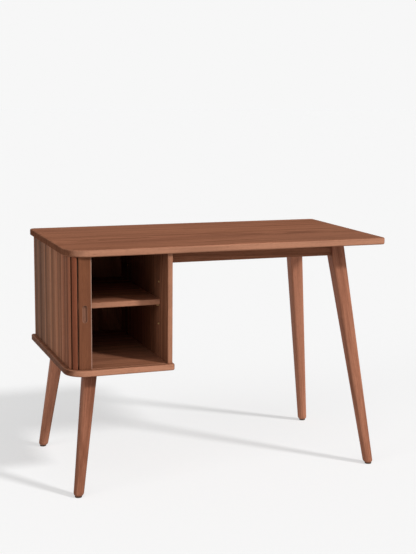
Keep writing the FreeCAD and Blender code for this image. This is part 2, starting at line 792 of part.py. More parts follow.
def apron_tenons(seams, play):
    """The tenons across the aprons' seams with the side panel and the right legs or, given a play, their
    mortises. The seams are "panel", "front_leg", "back_leg" or "all"."""
    half = size.tenon_thickness / 2 + play
    reach = size.tenon_reach + play
    height = size.tenon_height + 2 * play
    low = APRON_MIDDLE - height / 2
    tenons = []
    for y, end_seam, name in zip(apron_centre_lines(), (END_APRON_START, size.desk_depth - END_APRON_START),
                                 ("front_leg", "back_leg")):
        if seams in ("panel", "all"):
            tenons.append(box(PANEL_OUTER - reach, y - half, low, 2 * reach, 2 * half, height))
        if seams in (name, "all"):
            x = END_APRON_FACE - size.apron_thickness / 2
            tenons.append(box(LONG_APRON_END - reach, y - half, low, 2 * reach, 2 * half, height))
            tenons.append(box(x - half, end_seam - reach, low, 2 * half, 2 * reach, height))
    return tenons


def corner_diagonal(leg):
    """The inner corner that the aprons' inner faces make, and the way of its diagonal into the desk."""
    x = END_APRON_FACE - size.apron_thickness
    y = (FRONT_APRON_FACE + size.apron_thickness if leg.backward > 0
         else BACK_APRON_FACE - size.apron_thickness)
    return x, y, QUARTER_TURN if leg.backward > 0 else 2 * QUARTER_TURN


def corner_block(leg, grown):
    """A mitred brace across the inner corner. grown is how far it is lengthened up and down."""
    body = new_body("corner_block_blank")
    sketch = new_sketch(body, "XY_Plane")
    near = size.block_offset
    far = near + size.block_thickness * ROOT_TWO
    polygon(sketch, ((near, 0.0), (far, 0.0), (0.0, far), (0.0, near)))
    pad(body, sketch, size.apron_height + 2 * grown)
    x, y, turn = corner_diagonal(leg)
    return place(body, x, y, APRON_BOTTOM - grown, turn)


def diagonal_rod(leg, start, radius, length):
    """A level cylinder on the corner's diagonal, at the aprons' middle height."""
    x, y, turn = corner_diagonal(leg)
    step = start / ROOT_TWO
    return rod(x - step, y + leg.backward * step, APRON_MIDDLE, radius, length,
               turn + QUARTER_TURN / 2)


def make_right_legs():
    """Each right leg has an upright shoulder for each apron and a facet for its corner block."""
    reach = 4 * FRONT_RIGHT.half(UNDERSIDE)
    height = size.apron_height + 1.0
    for leg, seam in zip(RIGHT_LEGS, ("front_leg", "back_leg")):
        x, y = leg.top
        long_shoulder = box(LONG_APRON_END - reach, y - reach, APRON_BOTTOM, reach, 2 * reach, height)
        start = END_APRON_START if leg.backward > 0 else size.desk_depth - END_APRON_START - reach
        end_shoulder = box(x - reach, start, APRON_BOTTOM, 2 * reach, reach, height)
        bore = diagonal_rod(leg, -size.hole_end_play, size.bolt_radius + size.hole_play,
                            size.corner_bolt_length)
        tools = [long_shoulder, end_shoulder, corner_block(leg, Size.of(1.0)), bore]
        subpart(cut(leg_blank(leg), tools + apron_tenons(seam, size.hole_play)), leg.label)


def bolt_bore(leg):
    """The clearance hole for a corner's bolt, through everything on the corner's inner side."""
    return diagonal_rod(leg, Size.of(0), size.bolt_radius + size.hole_play, 2 * size.corner_bolt_length)


def make_corner_blocks():
    blocks, nuts = [], []
    for leg in RIGHT_LEGS:
        blocks.append(cut(corner_block(leg, Size.of(0)), [bolt_bore(leg)]))
        nut = doc.addObject("Part::Prism", "nut")
        nut.Polygon = 6
        bind(nut, Circumradius=size.nut_radius, Height=size.nut_height)
        x, y, turn = corner_diagonal(leg)
        step = (size.block_offset / ROOT_TWO + size.block_thickness) / ROOT_TWO
        place(nut, x - step, y + leg.backward * step, APRON_MIDDLE)
        bore = bolt_bore(leg)
        nut.Placement.Rotation = bore.Placement.Rotation
        nuts.append(cut(nut, [bore]))
    subpart(group(blocks), "corner_blocks")
    subpart(group(nuts), "corner_nuts")


def make_aprons():
    length = LONG_APRON_END - PANEL_OUTER
    front = box(PANEL_OUTER, FRONT_APRON_FACE, APRON_BOTTOM, length, size.apron_thickness, size.apron_height)
    back = box(PANEL_OUTER, BACK_APRON_FACE - size.apron_thickness, APRON_BOTTOM, length,
               size.apron_thickness, size.apron_height)
    end = box(END_APRON_FACE - size.apron_thickness, END_APRON_START, APRON_BOTTOM, size.apron_thickness,
              size.desk_depth - 2 * END_APRON_START, size.apron_height)
    for apron, label in ((front, "front_apron"), (back, "back_apron"), (end, "end_apron")):
        subpart(cut(apron, apron_tenons("all", size.hole_play)), label)


def make_loose_tenons():
    tenons = apron_tenons("all", 0.0) + [leg_tenon(leg, 0.0) for leg in LEFT_LEGS]
    subpart(group(tenons), "loose_tenons")


def glue_block(x, y, turn):
    """A three-cornered block under the desktop, against an apron's inner face, from its low corner."""
    body = new_body("glue_block_blank")
    sketch = new_sketch(body, "YZ_Plane")
    side = size.glue_block_side
    polygon(sketch, ((0.0, 0.0), (side, side), (0.0, side)))
    pad(body, sketch, size.glue_block_length)
    return place(body, x, y, UNDERSIDE - side, turn)


def make_glue_blocks():
    half = size.glue_block_length / 2
    span = LONG_APRON_END - PANEL_OUTER
    blocks = []
    for share in (0.3, 0.7):
        x = PANEL_OUTER + span * share
        blocks.append(glue_block(x - half, FRONT_APRON_FACE + size.apron_thickness, 0.0))
        blocks.append(glue_block(x + half, BACK_APRON_FACE - size.apron_thickness, 2 * QUARTER_TURN))
    for share in (0.38, 0.62):
        blocks.append(glue_block(END_APRON_FACE - size.apron_thickness, size.desk_depth * share - half,
                                 QUARTER_TURN))
    subpart(group(blocks), "glue_blocks")


def make_glides():
    glides = [rod(*leg.foot, 0.0, size.glide_radius, size.glide_thickness) for leg in LEFT_LEGS + RIGHT_LEGS]
    subpart(group(glides), "foot_glides")


def check_document():
    """Stops on any object that failed, which a recompute leaves without a word."""
    doc.recompute()
    for item in doc.Objects:
        if {"Invalid", "Error"} & set(item.State):
            raise RuntimeError(item.Label + " failed: " + str(item.State))
    for item in subparts:
        if item.Shape.isNull() or not item.Shape.isValid() or not item.Shape.Solids:
            raise RuntimeError(item.Label + " has no valid shape")


def main():
    make_desktop()
    make_cabinet_base()
    make_walls()
    make_shelf()
    make_pegs()
    make_wall_splines()
    make_lead_rail()
    make_slats()
    make_canvas()
    make_aprons()
    make_left_legs()
    make_base_inserts()
    make_right_legs()
    make_corner_blocks()
    make_glides()
    make_loose_tenons()
    make_glue_blocks()
    make_hanger_bolts()
    check_document()
    os.makedirs("parts", exist_ok=True)
    for item in subparts:
        item.Shape.exportStep(os.path.join("parts", item.Label + ".step"))
    print(len(subparts), "pieces written")


main()
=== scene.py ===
import json

import bpy
import numpy as np
from mathutils import Euler, Matrix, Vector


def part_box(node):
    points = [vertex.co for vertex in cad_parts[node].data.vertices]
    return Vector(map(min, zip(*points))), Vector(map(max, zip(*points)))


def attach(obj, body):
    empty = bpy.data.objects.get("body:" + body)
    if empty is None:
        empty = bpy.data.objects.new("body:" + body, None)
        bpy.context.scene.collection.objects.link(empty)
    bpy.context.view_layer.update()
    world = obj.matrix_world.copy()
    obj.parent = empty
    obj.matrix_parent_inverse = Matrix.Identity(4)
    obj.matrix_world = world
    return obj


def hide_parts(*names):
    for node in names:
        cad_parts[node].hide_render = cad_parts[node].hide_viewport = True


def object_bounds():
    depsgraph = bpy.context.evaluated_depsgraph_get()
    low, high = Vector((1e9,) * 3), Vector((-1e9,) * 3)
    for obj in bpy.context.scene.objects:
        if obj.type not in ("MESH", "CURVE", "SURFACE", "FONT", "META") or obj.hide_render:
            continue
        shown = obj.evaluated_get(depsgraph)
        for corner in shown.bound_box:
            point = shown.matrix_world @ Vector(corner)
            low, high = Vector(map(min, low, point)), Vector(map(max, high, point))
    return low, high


bl_info = {
    "name": "Tambour Desk",
    "version": (1, 0, 0),
    "blender": (4, 5, 0),
    "location": "3D View > Sidebar > Desk",
    "description": "Builds a walnut writing desk whose cabinet is closed by a tambour",
    "category": "Add Mesh",
}

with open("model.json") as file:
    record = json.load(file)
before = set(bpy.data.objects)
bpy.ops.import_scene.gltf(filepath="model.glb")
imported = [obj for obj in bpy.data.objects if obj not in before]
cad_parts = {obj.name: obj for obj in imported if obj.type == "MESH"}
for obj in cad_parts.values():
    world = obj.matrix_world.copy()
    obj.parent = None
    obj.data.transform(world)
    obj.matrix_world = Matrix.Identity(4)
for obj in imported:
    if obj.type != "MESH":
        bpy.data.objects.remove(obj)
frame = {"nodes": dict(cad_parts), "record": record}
CAD_BOX = [list(corner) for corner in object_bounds()]

# Lengths are metres from the floor below the desktop's front left corner. A piece is moved to the shared
# frame when its mesh is made.
ORIGIN = np.array([CAD_BOX[0][0], CAD_BOX[0][1], 0.0])
WIDTH, DEPTH = (CAD_BOX[1][axis] - CAD_BOX[0][axis] for axis in (0, 1))
SLATS = {body: sorted(int(node[-2:]) for node in nodes if node.startswith("slat_"))
         for body, nodes in frame["record"]["behaviour"]["bodies"].items()}
QUARTER = np.pi / 2
HOLD = 0.00025  # a narrow flat beside each rounding, so that the round doesn't shade the flat
SOFT_CORNER = 0.02  # a corner with a larger radius doesn't count as an eased edge
CLEAR = 0.001  # how far the track's cutter stands out of the board
ARC_STEPS = 9
EASE = np.linspace(0.0, QUARTER, 7)  # the angles across an eased edge
SHARP_FROM = np.radians(35)


def span(node):
    """A node's lowest and highest corner."""
    low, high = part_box(node)
    return np.array(low) - ORIGIN, np.array(high) - ORIGIN


def tint(red, green, blue):
    """The linear colour of three 0 to 255 screen values."""
    share = np.array([red, green, blue]) / 255
    linear = np.where(share <= 0.04045, share / 12.92, ((share + 0.055) / 1.055) ** 2.4)
    return tuple(float(value) for value in linear)


# ---- sizes and colours ----

def length(name, description, default):
    return bpy.props.FloatProperty(name=name, description=description, default=default, min=0.0,
                                   precision=4, unit="LENGTH")


def slope(name, description, default):
    return bpy.props.FloatProperty(name=name, description=description, default=default, precision=4)


def colour(name, description, default):
    return bpy.props.FloatVectorProperty(name=name, description=description, default=default, size=3,
                                         min=0.0, max=1.0, subtype="COLOR")


class DeskBoardSizes(bpy.types.PropertyGroup):
    top_big_corner: length("Desktop's big corner", "Radius of the desktop's corner over the cabinet", 0.070)
    top_corner: length("Desktop's corners", "Radius of the desktop's other three corners", 0.016)
    top_arris: length("Desktop's arris", "Rounding along the desktop's edges", 0.005)
    base_big_corner: length("Base's big corner", "Radius of the cabinet base's front left corner", 0.062)
    base_corner: length("Base's corners", "Radius of the cabinet base's other three corners", 0.010)
    base_arris: length("Base's arris", "Rounding along the cabinet base's edges", 0.004)
    panel_corner: length("Panels' edge", "Rounding of the upright panels' showing edges", 0.003)
    small_arris: length("Small arris", "Rounding of edges that are only eased by hand", 0.0011)
    shelf_arris: length("Shelf's arris", "Rounding of the shelf's front edge", 0.003)
    peg_radius: length("Peg radius", "Radius of the shelf pegs", 0.0025)
    peg_reach: length("Peg reach", "How far a shelf peg stands out of the wall", 0.007)
    peg_setback: length("Peg setback", "How far the pegs stand from the desk's front and back", 0.104)
    peg_row_low: length("Low peg row", "Height of the lowest row of peg holes", 0.5045)
    peg_row_high: length("High peg row", "Height of the highest row of peg holes", 0.6365)


class DeskTambourSizes(bpy.types.PropertyGroup):
    track_inset: length("Track inset", "From the base's edge to the track's middle", 0.0165)
    track_corner: length("Track corner", "Radius of the track's middle line round the corner", 0.030)
    track_width: length("Track width", "Width of the routed track", 0.006)
    track_depth: length("Track depth", "Depth of the routed track", 0.006)
    pitch: length("Slat pitch", "From one slat's middle to the next along the canvas", 0.018)
    width: length("Slat width", "Width of a slat across its face", 0.0166)
    thickness: length("Slat thickness", "Thickness of a slat at the top of its crown", 0.007)
    proud: length("Proud of the track", "How far a slat's face stands outside the track's middle", 0.004)
    crown: length("Slat crown", "How far a slat's face bulges", 0.0015)
    tongue_width: length("Tongue width", "Width of a slat's tongue", 0.012)
    tongue_thickness: length("Tongue thickness", "Thickness of a tongue", 0.004)
    tongue_reach: length("Tongue reach", "How far a tongue reaches into the track", 0.005)
    end_play: length("End play", "Gap between a slat's shoulders and the boards", 0.0008)
    lead_offset: length("Lead rail offset", "From the desk's left edge to the lead rail", 0.038)
    lead_width: length("Lead rail width", "Width of the lead rail", 0.0395)
    lead_thickness: length("Lead rail thickness", "Thickness of the lead rail", 0.014)
    lead_arris: length("Lead rail arris", "Rounding of the lead rail's front edges", 0.0035)
    lead_gap: length("Lead gap", "Gap between the lead rail and the first slat", 0.00105)
    canvas_thickness: length("Canvas thickness", "Thickness of the canvas", 0.0006)
    canvas_lap: length("Canvas lap", "How far the canvas laps behind the lead rail", 0.014)
    pull_width: length("Pull width", "Width of the finger pull", 0.0135)
    pull_length: length("Pull length", "Height of the finger pull", 0.051)
    pull_depth: length("Pull depth", "Depth of the finger pull", 0.0048)
    pull_offset: length("Pull offset", "From the lead rail's left edge to the pull's middle", 0.0183)
    pull_height: length("Pull height", "Height of the pull's middle above the floor", 0.566)


class DeskLegSizes(bpy.types.PropertyGroup):
    foot_size: length("Foot size", "Width of a leg at the floor", 0.0312)
    foot_radius: length("Foot radius", "From a leg's axis to its arris at the floor", 0.0159)
    left_inset: length("Left inset", "From the desk's left edge to the left feet's middles", 0.0315)
    right_inset: length("Right inset", "From the desk's right edge to the right feet's middles", 0.0305)
    setback: length("Foot setback", "From the desk's front and back to the feet's middles", 0.0175)
    foot_round: length("Foot rounding", "Rounding under a leg's foot", 0.011)
    block_offset: length("Block offset", "From the aprons' inner corner to its block, along an apron", 0.025)
    glide_radius: length("Glide radius", "Radius of a foot's glide", 0.011)
    short_taper: slope("Short legs' taper", "How much a left leg widens for each metre up", 0.030)
    long_taper: slope("Long legs' taper", "How much a right leg widens for each metre up", 0.0235)
    short_arris: slope("Short legs' arris", "How far a left leg's arris moves out for each metre up", 0.0282)
    long_arris: slope("Long legs' arris", "How far a right leg's arris moves out for each metre up", 0.0219)
    lean_across: slope("Lean across", "How far a leg leans in for each metre up", 0.134)
    lean_deep: slope("Lean back", "How far a leg leans front to back for each metre up", 0.135)


class DeskColours(bpy.types.PropertyGroup):
    top_light: colour("Desktop, light", "Early wood of the desktop", tint(163, 108, 82))
    top_dark: colour("Desktop, dark", "Late wood of the desktop", tint(112, 71, 52))
    carcass_light: colour("Carcass, light", "Early wood of the panels and the base", tint(158, 106, 80))
    carcass_dark: colour("Carcass, dark", "Late wood of the panels and the base", tint(108, 68, 48))
    edge: colour("Board edges", "Long grain on the boards' front edges", tint(186, 132, 105))
    # Painted highlight: this pale colour is painted on the lead rail's right front arris and round its pull.
    rail_edge_highlight: colour("Lead rail edge", "The worn edge of the lead rail", tint(192, 162, 146))
    rail_light: colour("Rails, light", "Early wood of the lead rail and the aprons", tint(128, 80, 56))
    rail_dark: colour("Rails, dark", "Late wood of the lead rail and the aprons", tint(98, 60, 42))
    slat_red: colour("Slat, reddish", "The reddest slats", tint(136, 76, 54))
    slat_brown: colour("Slat, brown", "The middling slats", tint(174, 120, 91))
    slat_grey: colour("Slat, greyish", "The palest and greyest slats", tint(116, 90, 76))
    leg_light: colour("Leg, light", "Early wood of the legs", tint(184, 124, 97))
    leg_dark: colour("Leg, dark", "Late wood of the legs", tint(114, 68, 48))
    pore: colour("Pores", "The wood's open pores", tint(58, 34, 22))
    beech: colour("Beech", "Blocks, splines and tenons", tint(205, 168, 124))
    canvas: colour("Canvas", "The cloth that the slats are glued to", tint(96, 82, 66))
    brass: colour("Brass", "Shelf pegs and inserts", tint(236, 206, 146))
    steel: colour("Steel", "Bolts and nuts", tint(190, 190, 188))
    glide: colour("Glides", "The feet's plastic glides", tint(104, 88, 78))
    floor: colour("Floor", "Floor and background", tint(247, 247, 247))


# ---- surfaces ----

def skin(rings, edge=None, looped=False):
    """A closed surface from a grid of points whose row i is a ring round the shape. The first and last
    rings are closed with one flat face each, or joined to each other where the grid is looped."""
    rows, count = rings.shape[:2]
    index = np.arange(rows * count).reshape(rows, count)
    here, there = (index, np.roll(index, -1, 0)) if looped else (index[:-1], index[1:])
    quads = np.stack((here, np.roll(here, -1, 1), np.roll(there, -1, 1), there), -1).reshape(-1, 4)
    ends = [] if looped else [index[0][::-1].tolist(), index[-1].tolist()]
    edge = np.zeros(rows * count) if edge is None else np.asarray(edge, float).reshape(-1)
    return rings.reshape(-1, 3), quads.tolist() + ends, edge


def raised(flat, height):
    """The points of a plan, each with its height."""
    return np.concatenate((flat, np.broadcast_to(height, flat.shape[:-1] + (1,))), -1)


def rectangle(left, low, right, high):
    return np.array([(left, low), (right, low), (right, high), (left, high)])


def stacked(low, high, radius, height, arris):
    """Rounded rectangles one above the other. A point is its corner's centre plus the corner's radius
    along the point's outward direction, which turns through a quarter circle at each corner; low and
    high are the rectangles' corners, and arris says how much each ring counts as an eased edge."""
    sign = np.array([(-1, -1), (1, -1), (1, 1), (-1, 1)])
    spread = radius[..., None]
    centre = np.where(sign < 0, low[:, None, :] + spread, high[:, None, :] - spread)
    sweep = np.concatenate(([0.0], np.linspace(0.0, QUARTER, ARC_STEPS), [QUARTER]))
    slide = np.concatenate(([-HOLD], np.zeros(ARC_STEPS), [HOLD]))
    turn = np.pi + np.arange(4)[:, None] * QUARTER + sweep
    out = np.stack((np.cos(turn), np.sin(turn)), -1)
    along = np.stack((-np.sin(turn), np.cos(turn)), -1) * slide[:, None]
    flat = centre[:, :, None, :] + spread[:, :, None, :] * out + along
    corner = np.sin(2 * sweep) * (spread < SOFT_CORNER)
    edge = np.maximum(corner, arris[:, None, None])
    return raised(flat, height[:, None, None, None]).reshape(len(flat), -1, 3), edge.reshape(len(flat), -1)


def board(low, high, corner=0.0, arris=0.001):
    """A board with rounded corners and arrises: its rings are inset by arris * (1 - sin t) and raised by
    arris * (1 - cos t) while t turns through a quarter circle at the bottom and back at the top. The
    corner radii run anticlockwise from the low corner."""
    low, high = np.asarray(low, float), np.asarray(high, float)
    corner = np.maximum(np.broadcast_to(corner, 4), arris + 2 * HOLD)
    inset = np.concatenate(([arris + HOLD], arris * (1 - np.sin(EASE)), [0.0]))
    rise = np.concatenate(([0.0], arris * (1 - np.cos(EASE)), [arris + HOLD]))
    edge_marks = np.concatenate(([0.0], np.sin(2 * EASE), [0.0]))
    inset, edge_marks = np.concatenate((inset, inset[::-1])), np.concatenate((edge_marks, edge_marks[::-1]))
    height = np.concatenate((low[2] + rise, high[2] - rise[::-1]))
    rings, edge = stacked(low[:2] + inset[:, None], high[:2] - inset[:, None],
                          corner - inset[:, None], height, edge_marks)
    return skin(rings, edge)


def filleted(corners, radii, steps=7):
    """A closed outline through corners, each turned into an arc: the arc's centre lies on the corner's
    bisector at radius / sin(half the angle), and its points turn evenly from one side to the other."""
    corners = np.asarray(corners, float)
    radii = np.broadcast_to(np.asarray(radii, float), len(corners))[:, None]
    back, ahead = np.roll(corners, 1, 0) - corners, np.roll(corners, -1, 0) - corners
    back = back / np.linalg.norm(back, axis=1, keepdims=True)
    ahead = ahead / np.linalg.norm(ahead, axis=1, keepdims=True)
    cosine = (back * ahead).sum(1, keepdims=True)
    half_sine, half_tangent = np.sqrt((1 - cosine) / 2), np.sqrt((1 - cosine) / (1 + cosine))
    middle = back + ahead
    centre = corners + middle / np.linalg.norm(middle, axis=1, keepdims=True) * radii / half_sine
    first = corners + back * radii / half_tangent - centre
    last = corners + ahead * radii / half_tangent - centre
    start = np.arctan2(first[:, 1], first[:, 0])
    sweep = (np.arctan2(last[:, 1], last[:, 0]) - start + np.pi) % (2 * np.pi) - np.pi
    turn = start[:, None] + sweep[:, None] * np.linspace(0.0, 1.0, steps)
    arcs = centre[:, None, :] + radii[:, None] * np.stack((np.cos(turn), np.sin(turn)), -1)
    return arcs.reshape(-1, 2)


def carried(outline, origin, across, outward, low, high, edge=None):
    """An outline carried straight up: point = origin + across * u + outward * v, at both heights, with
    the ends drawn in by a hair."""
    hair, reach = 0.0003, np.array([0.97, 1.0, 1.0, 0.97])[:, None, None]
    centre = (outline.min(0) + outline.max(0)) / 2
    drawn = centre + (outline - centre) * reach
    flat = np.asarray(origin) + drawn[..., :1] * np.asarray(across) + drawn[..., 1:] * np.asarray(outward)
    height = np.array([low, low + hair, high - hair, high])[:, None, None]
    return skin(raised(flat, height), None if edge is None else np.tile(edge, (4, 1)))


def along_path(path, section):
    """A section carried along a level path: point = path + side * the path's normal, at the section's
    height. The section is a closed outline of side and height."""
    step = np.gradient(path, axis=0)
    step = step / np.linalg.norm(step, axis=1, keepdims=True)
    normal = np.stack((-step[:, 1], step[:, 0]), -1)
    flat = path[:, None, :] + section[None, :, :1] * normal[:, None, :]
    return skin(raised(flat, section[None, :, 1:]))


def turned(profile, foot, way, looped=False, count=28):
    """A turned shape: profile is rows of radius and distance along the axis, and a point is
    foot + way * distance + radius * (side * cos t + other side * sin t)."""
    profile = np.asarray(profile, float)
    way = np.asarray(way, float) / np.linalg.norm(way)
    side = np.cross(way, (0.0, 0.0, 1.0) if abs(way[2]) < 0.9 else (1.0, 0.0, 0.0))
    side = side / np.linalg.norm(side)
    other = np.cross(way, side)
    turn = np.linspace(0.0, 2 * np.pi, count, endpoint=False)
    spoke = np.cos(turn)[:, None] * side + np.sin(turn)[:, None] * other
    rings = (np.asarray(foot) + profile[:, 1, None, None] * way
             + profile[:, 0, None, None] * spoke[None])
    return skin(rings, looped=looped)


# ---- pieces ----

def mesh_of(name, shells):
    """One mesh from closed surfaces, and how much each point is an eased edge, or, below zero, how much a
    slat's side is painted with the shade of the gap between slats.
    """
    counts = np.cumsum([0] + [len(points) for points, _, _ in shells])
    points = np.concatenate([points for points, _, _ in shells]) + ORIGIN
    faces = [[corner + int(start) for corner in face]
             for start, (_, these, _) in zip(counts, shells) for face in these]
    mesh = bpy.data.meshes.new(name)
    mesh.from_pydata(points.tolist(), [], faces)
    edge = mesh.attributes.new("arris", "FLOAT", "POINT")
    edge.data.foreach_set("value", np.concatenate([edge for _, _, edge in shells]).astype(np.float32))
    mesh.update()
    return mesh


def put(name, data):
    """A new object in the scene."""
    made = bpy.data.objects.new(name, data)
    bpy.context.scene.collection.objects.link(made)
    return made


def shape(name, shells):
    """A piece made of closed surfaces, with its faces turned outward."""
    made = put(name, mesh_of(name, shells))
    bpy.context.view_layer.objects.active = made
    bpy.ops.object.select_all(action="DESELECT")
    made.select_set(True)
    bpy.ops.object.mode_set(mode="EDIT")
    bpy.ops.mesh.select_all(action="SELECT")
    bpy.ops.mesh.normals_make_consistent(inside=False)
    bpy.ops.object.mode_set(mode="OBJECT")
    return made


def carve(made, *tools):
    """Takes closed surfaces away from a piece and keeps the result as its mesh."""
    cutter = shape(made.name + "_tool", list(tools))
    cut = made.modifiers.new("cut", "BOOLEAN")
    cut.operation, cut.solver, cut.object = "DIFFERENCE", "EXACT", cutter
    bpy.context.view_layer.update()
    ready = made.evaluated_get(bpy.context.evaluated_depsgraph_get())
    result = bpy.data.meshes.new_from_object(ready)
    if len(result.vertices) == len(made.data.vertices):
        raise RuntimeError(made.name + ": the cut changed nothing")
    made.modifiers.clear()
    made.data = result
    bpy.data.objects.remove(cutter)
    return made


def settle(made, slot, along="Z", body="desk", stands_for=(), tone=0.0, edged=0.0):
    """Finishes a piece: smooth faces with sharp creases, its own tone, its finish and its body. Along is
    the grain's direction, and edged is how much the piece's front shows a board's edge."""
    mesh = made.data
    mesh.polygons.foreach_set("use_smooth", np.ones(len(mesh.polygons), bool))
    mesh.set_sharp_from_angle(angle=SHARP_FROM)
    for name, value in (("tone", tone), ("edged", edged)):
        own = mesh.attributes.new(name, "FLOAT", "POINT")
        own.data.foreach_set("value", np.full(len(mesh.vertices), value, np.float32))
    mesh.materials.clear()
    mesh.materials.append(finish_for(slot, along))
    flats = made.modifiers.new("flats", "WEIGHTED_NORMAL")
    flats.keep_sharp, flats.weight = True, 90
    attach(made, body)
    if stands_for:
        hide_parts(*stands_for)
    return made


# ---- finishes ----

class Field:
    """A shader socket that can be reckoned with: an expression on fields adds its Math nodes."""

    def __init__(self, shader, socket):
        self.shader = shader
        self.socket = socket

    def math(self, operation, *values):
        return self.shader.node("ShaderNodeMath", {"operation": operation}, dict(enumerate(values)))

    def __add__(self, other):
        return self.math("ADD", self, other)

    def __radd__(self, other):
        return self.math("ADD", other, self)

    def __sub__(self, other):
        return self.math("SUBTRACT", self, other)

    def __rsub__(self, other):
        return self.math("SUBTRACT", other, self)

    def __mul__(self, other):
        return self.math("MULTIPLY", self, other)

    def __rmul__(self, other):
        return self.math("MULTIPLY", other, self)

    def __truediv__(self, other):
        return self.math("DIVIDE", self, other)

    def __rtruediv__(self, other):
        return self.math("DIVIDE", other, self)

    def __abs__(self):
        return self.math("ABSOLUTE", self)

    def root(self):
        return self.math("SQRT", self)

    def sine(self):
        return self.math("SINE", self)

    def most(self, other):
        return self.math("MAXIMUM", self, other)

    def between(self, low, high, way="SMOOTHSTEP"):
        """0 below low, 1 above high, and a smooth or a linear step from one to the other."""
        return self.shader.node("ShaderNodeMapRange", {"interpolation_type": way},
                                {"Value": self, "From Min": low, "From Max": high})


class Shader:
    """The nodes of one finish."""

    def __init__(self, name, tree=None):
        if tree is None:
            self.material = bpy.data.materials.new(name)
            self.material.use_nodes = True
            tree = self.material.node_tree
        self.tree = tree

    def put(self, socket, value):
        if isinstance(value, Field):
            self.tree.links.new(value.socket, socket)
        elif isinstance(value, tuple) and len(value) == 3 and socket.type == "RGBA":
            socket.default_value = (*value, 1.0)
        else:
            socket.default_value = value

    def node(self, kind, settings=None, inputs=None, output=0):
        """Adds a node, sets it up, fills its sockets and returns one of its outputs."""
        node = self.tree.nodes.new(kind)
        for name, value in (settings or {}).items():
            setattr(node, name, value)
        for name, value in (inputs or {}).items():
            self.put(node.inputs[name], value)
        return Field(self, node.outputs[output])

    def apart(self, vector):
        """A vector's three fields."""
        node = self.node("ShaderNodeSeparateXYZ", inputs={"Vector": vector}).socket.node
        return [Field(self, socket) for socket in node.outputs]

    def place(self):
        """The point on the piece, in metres."""
        return self.apart(self.node("ShaderNodeTexCoord", output="Object"))

    def carried(self, name):
        """A point that the piece carries for each of its corners."""
        return self.apart(self.node("ShaderNodeAttribute", {"attribute_name": name}, output="Vector"))

    def own(self, name):
        """A number that the piece carries."""
        return self.node("ShaderNodeAttribute", {"attribute_name": name}, output="Fac")

    def noise(self, point, pace=None, detail=2.0, roughness=0.5):
        """Noise at a point of three fields, and at how fast it changes along each, in steps a metre."""
        spot = [field * speed for field, speed in zip(point, pace)] if pace else point
        spot = self.node("ShaderNodeCombineXYZ", inputs=dict(enumerate(spot)))
        return self.node("ShaderNodeTexNoise", {"noise_dimensions": "3D"},
                         {"Vector": spot, "Scale": 1.0, "Detail": detail, "Roughness": roughness})

    def grain(self, reading, detail, roughness):
        """Noise along one line, for rings."""
        return self.node("ShaderNodeTexNoise", {"noise_dimensions": "1D"},
                         {"W": reading, "Scale": 1.0, "Detail": detail, "Roughness": roughness})

    def mix(self, share, first, second):
        """Goes from one colour to another as share goes from 0 to 1."""
        return self.node("ShaderNodeMix", {"data_type": "RGBA"}, {0: share, 6: first, 7: second}, output=2)

    def bump(self, height, distance, strength):
        return self.node("ShaderNodeBump", inputs={"Height": height, "Distance": distance,
                                                   "Strength": strength})

    def finish(self, **sockets):
        """Fills the surface shader's own sockets and returns the material."""
        surface = self.tree.nodes["Principled BSDF"]
        for name, value in sockets.items():
            self.put(surface.inputs[name.replace("_", " ")], value)
        return self.material


def scaled(colour, share):
    """A colour times a share, or times a share for each of its channels."""
    return tuple((np.array(colour) * share).tolist())


def paint(name, share=1.0):
    """One of the desk's colours, times a share."""
    return scaled(tuple(getattr(bpy.context.scene.desk_colours, name)), share)


# How fast each part of a wood's figure changes, in steps a metre: along the grain, across it and deep.
WANDER, CAST, RIPPLE = (1.6, 4.0, 4.0), (2.2, 7.0, 7.0), (7.0, 45.0, 45.0)
STREAK, FIBRE, PORES = (1.3, 38.0, 38.0), (9.0, 360.0, 360.0), (60.0, 1500.0, 1500.0)
WANDERING, RIPPLING = 0.16, 0.012  # how far the rings stray, in metres
GRAIN_DEPTH = 0.00012


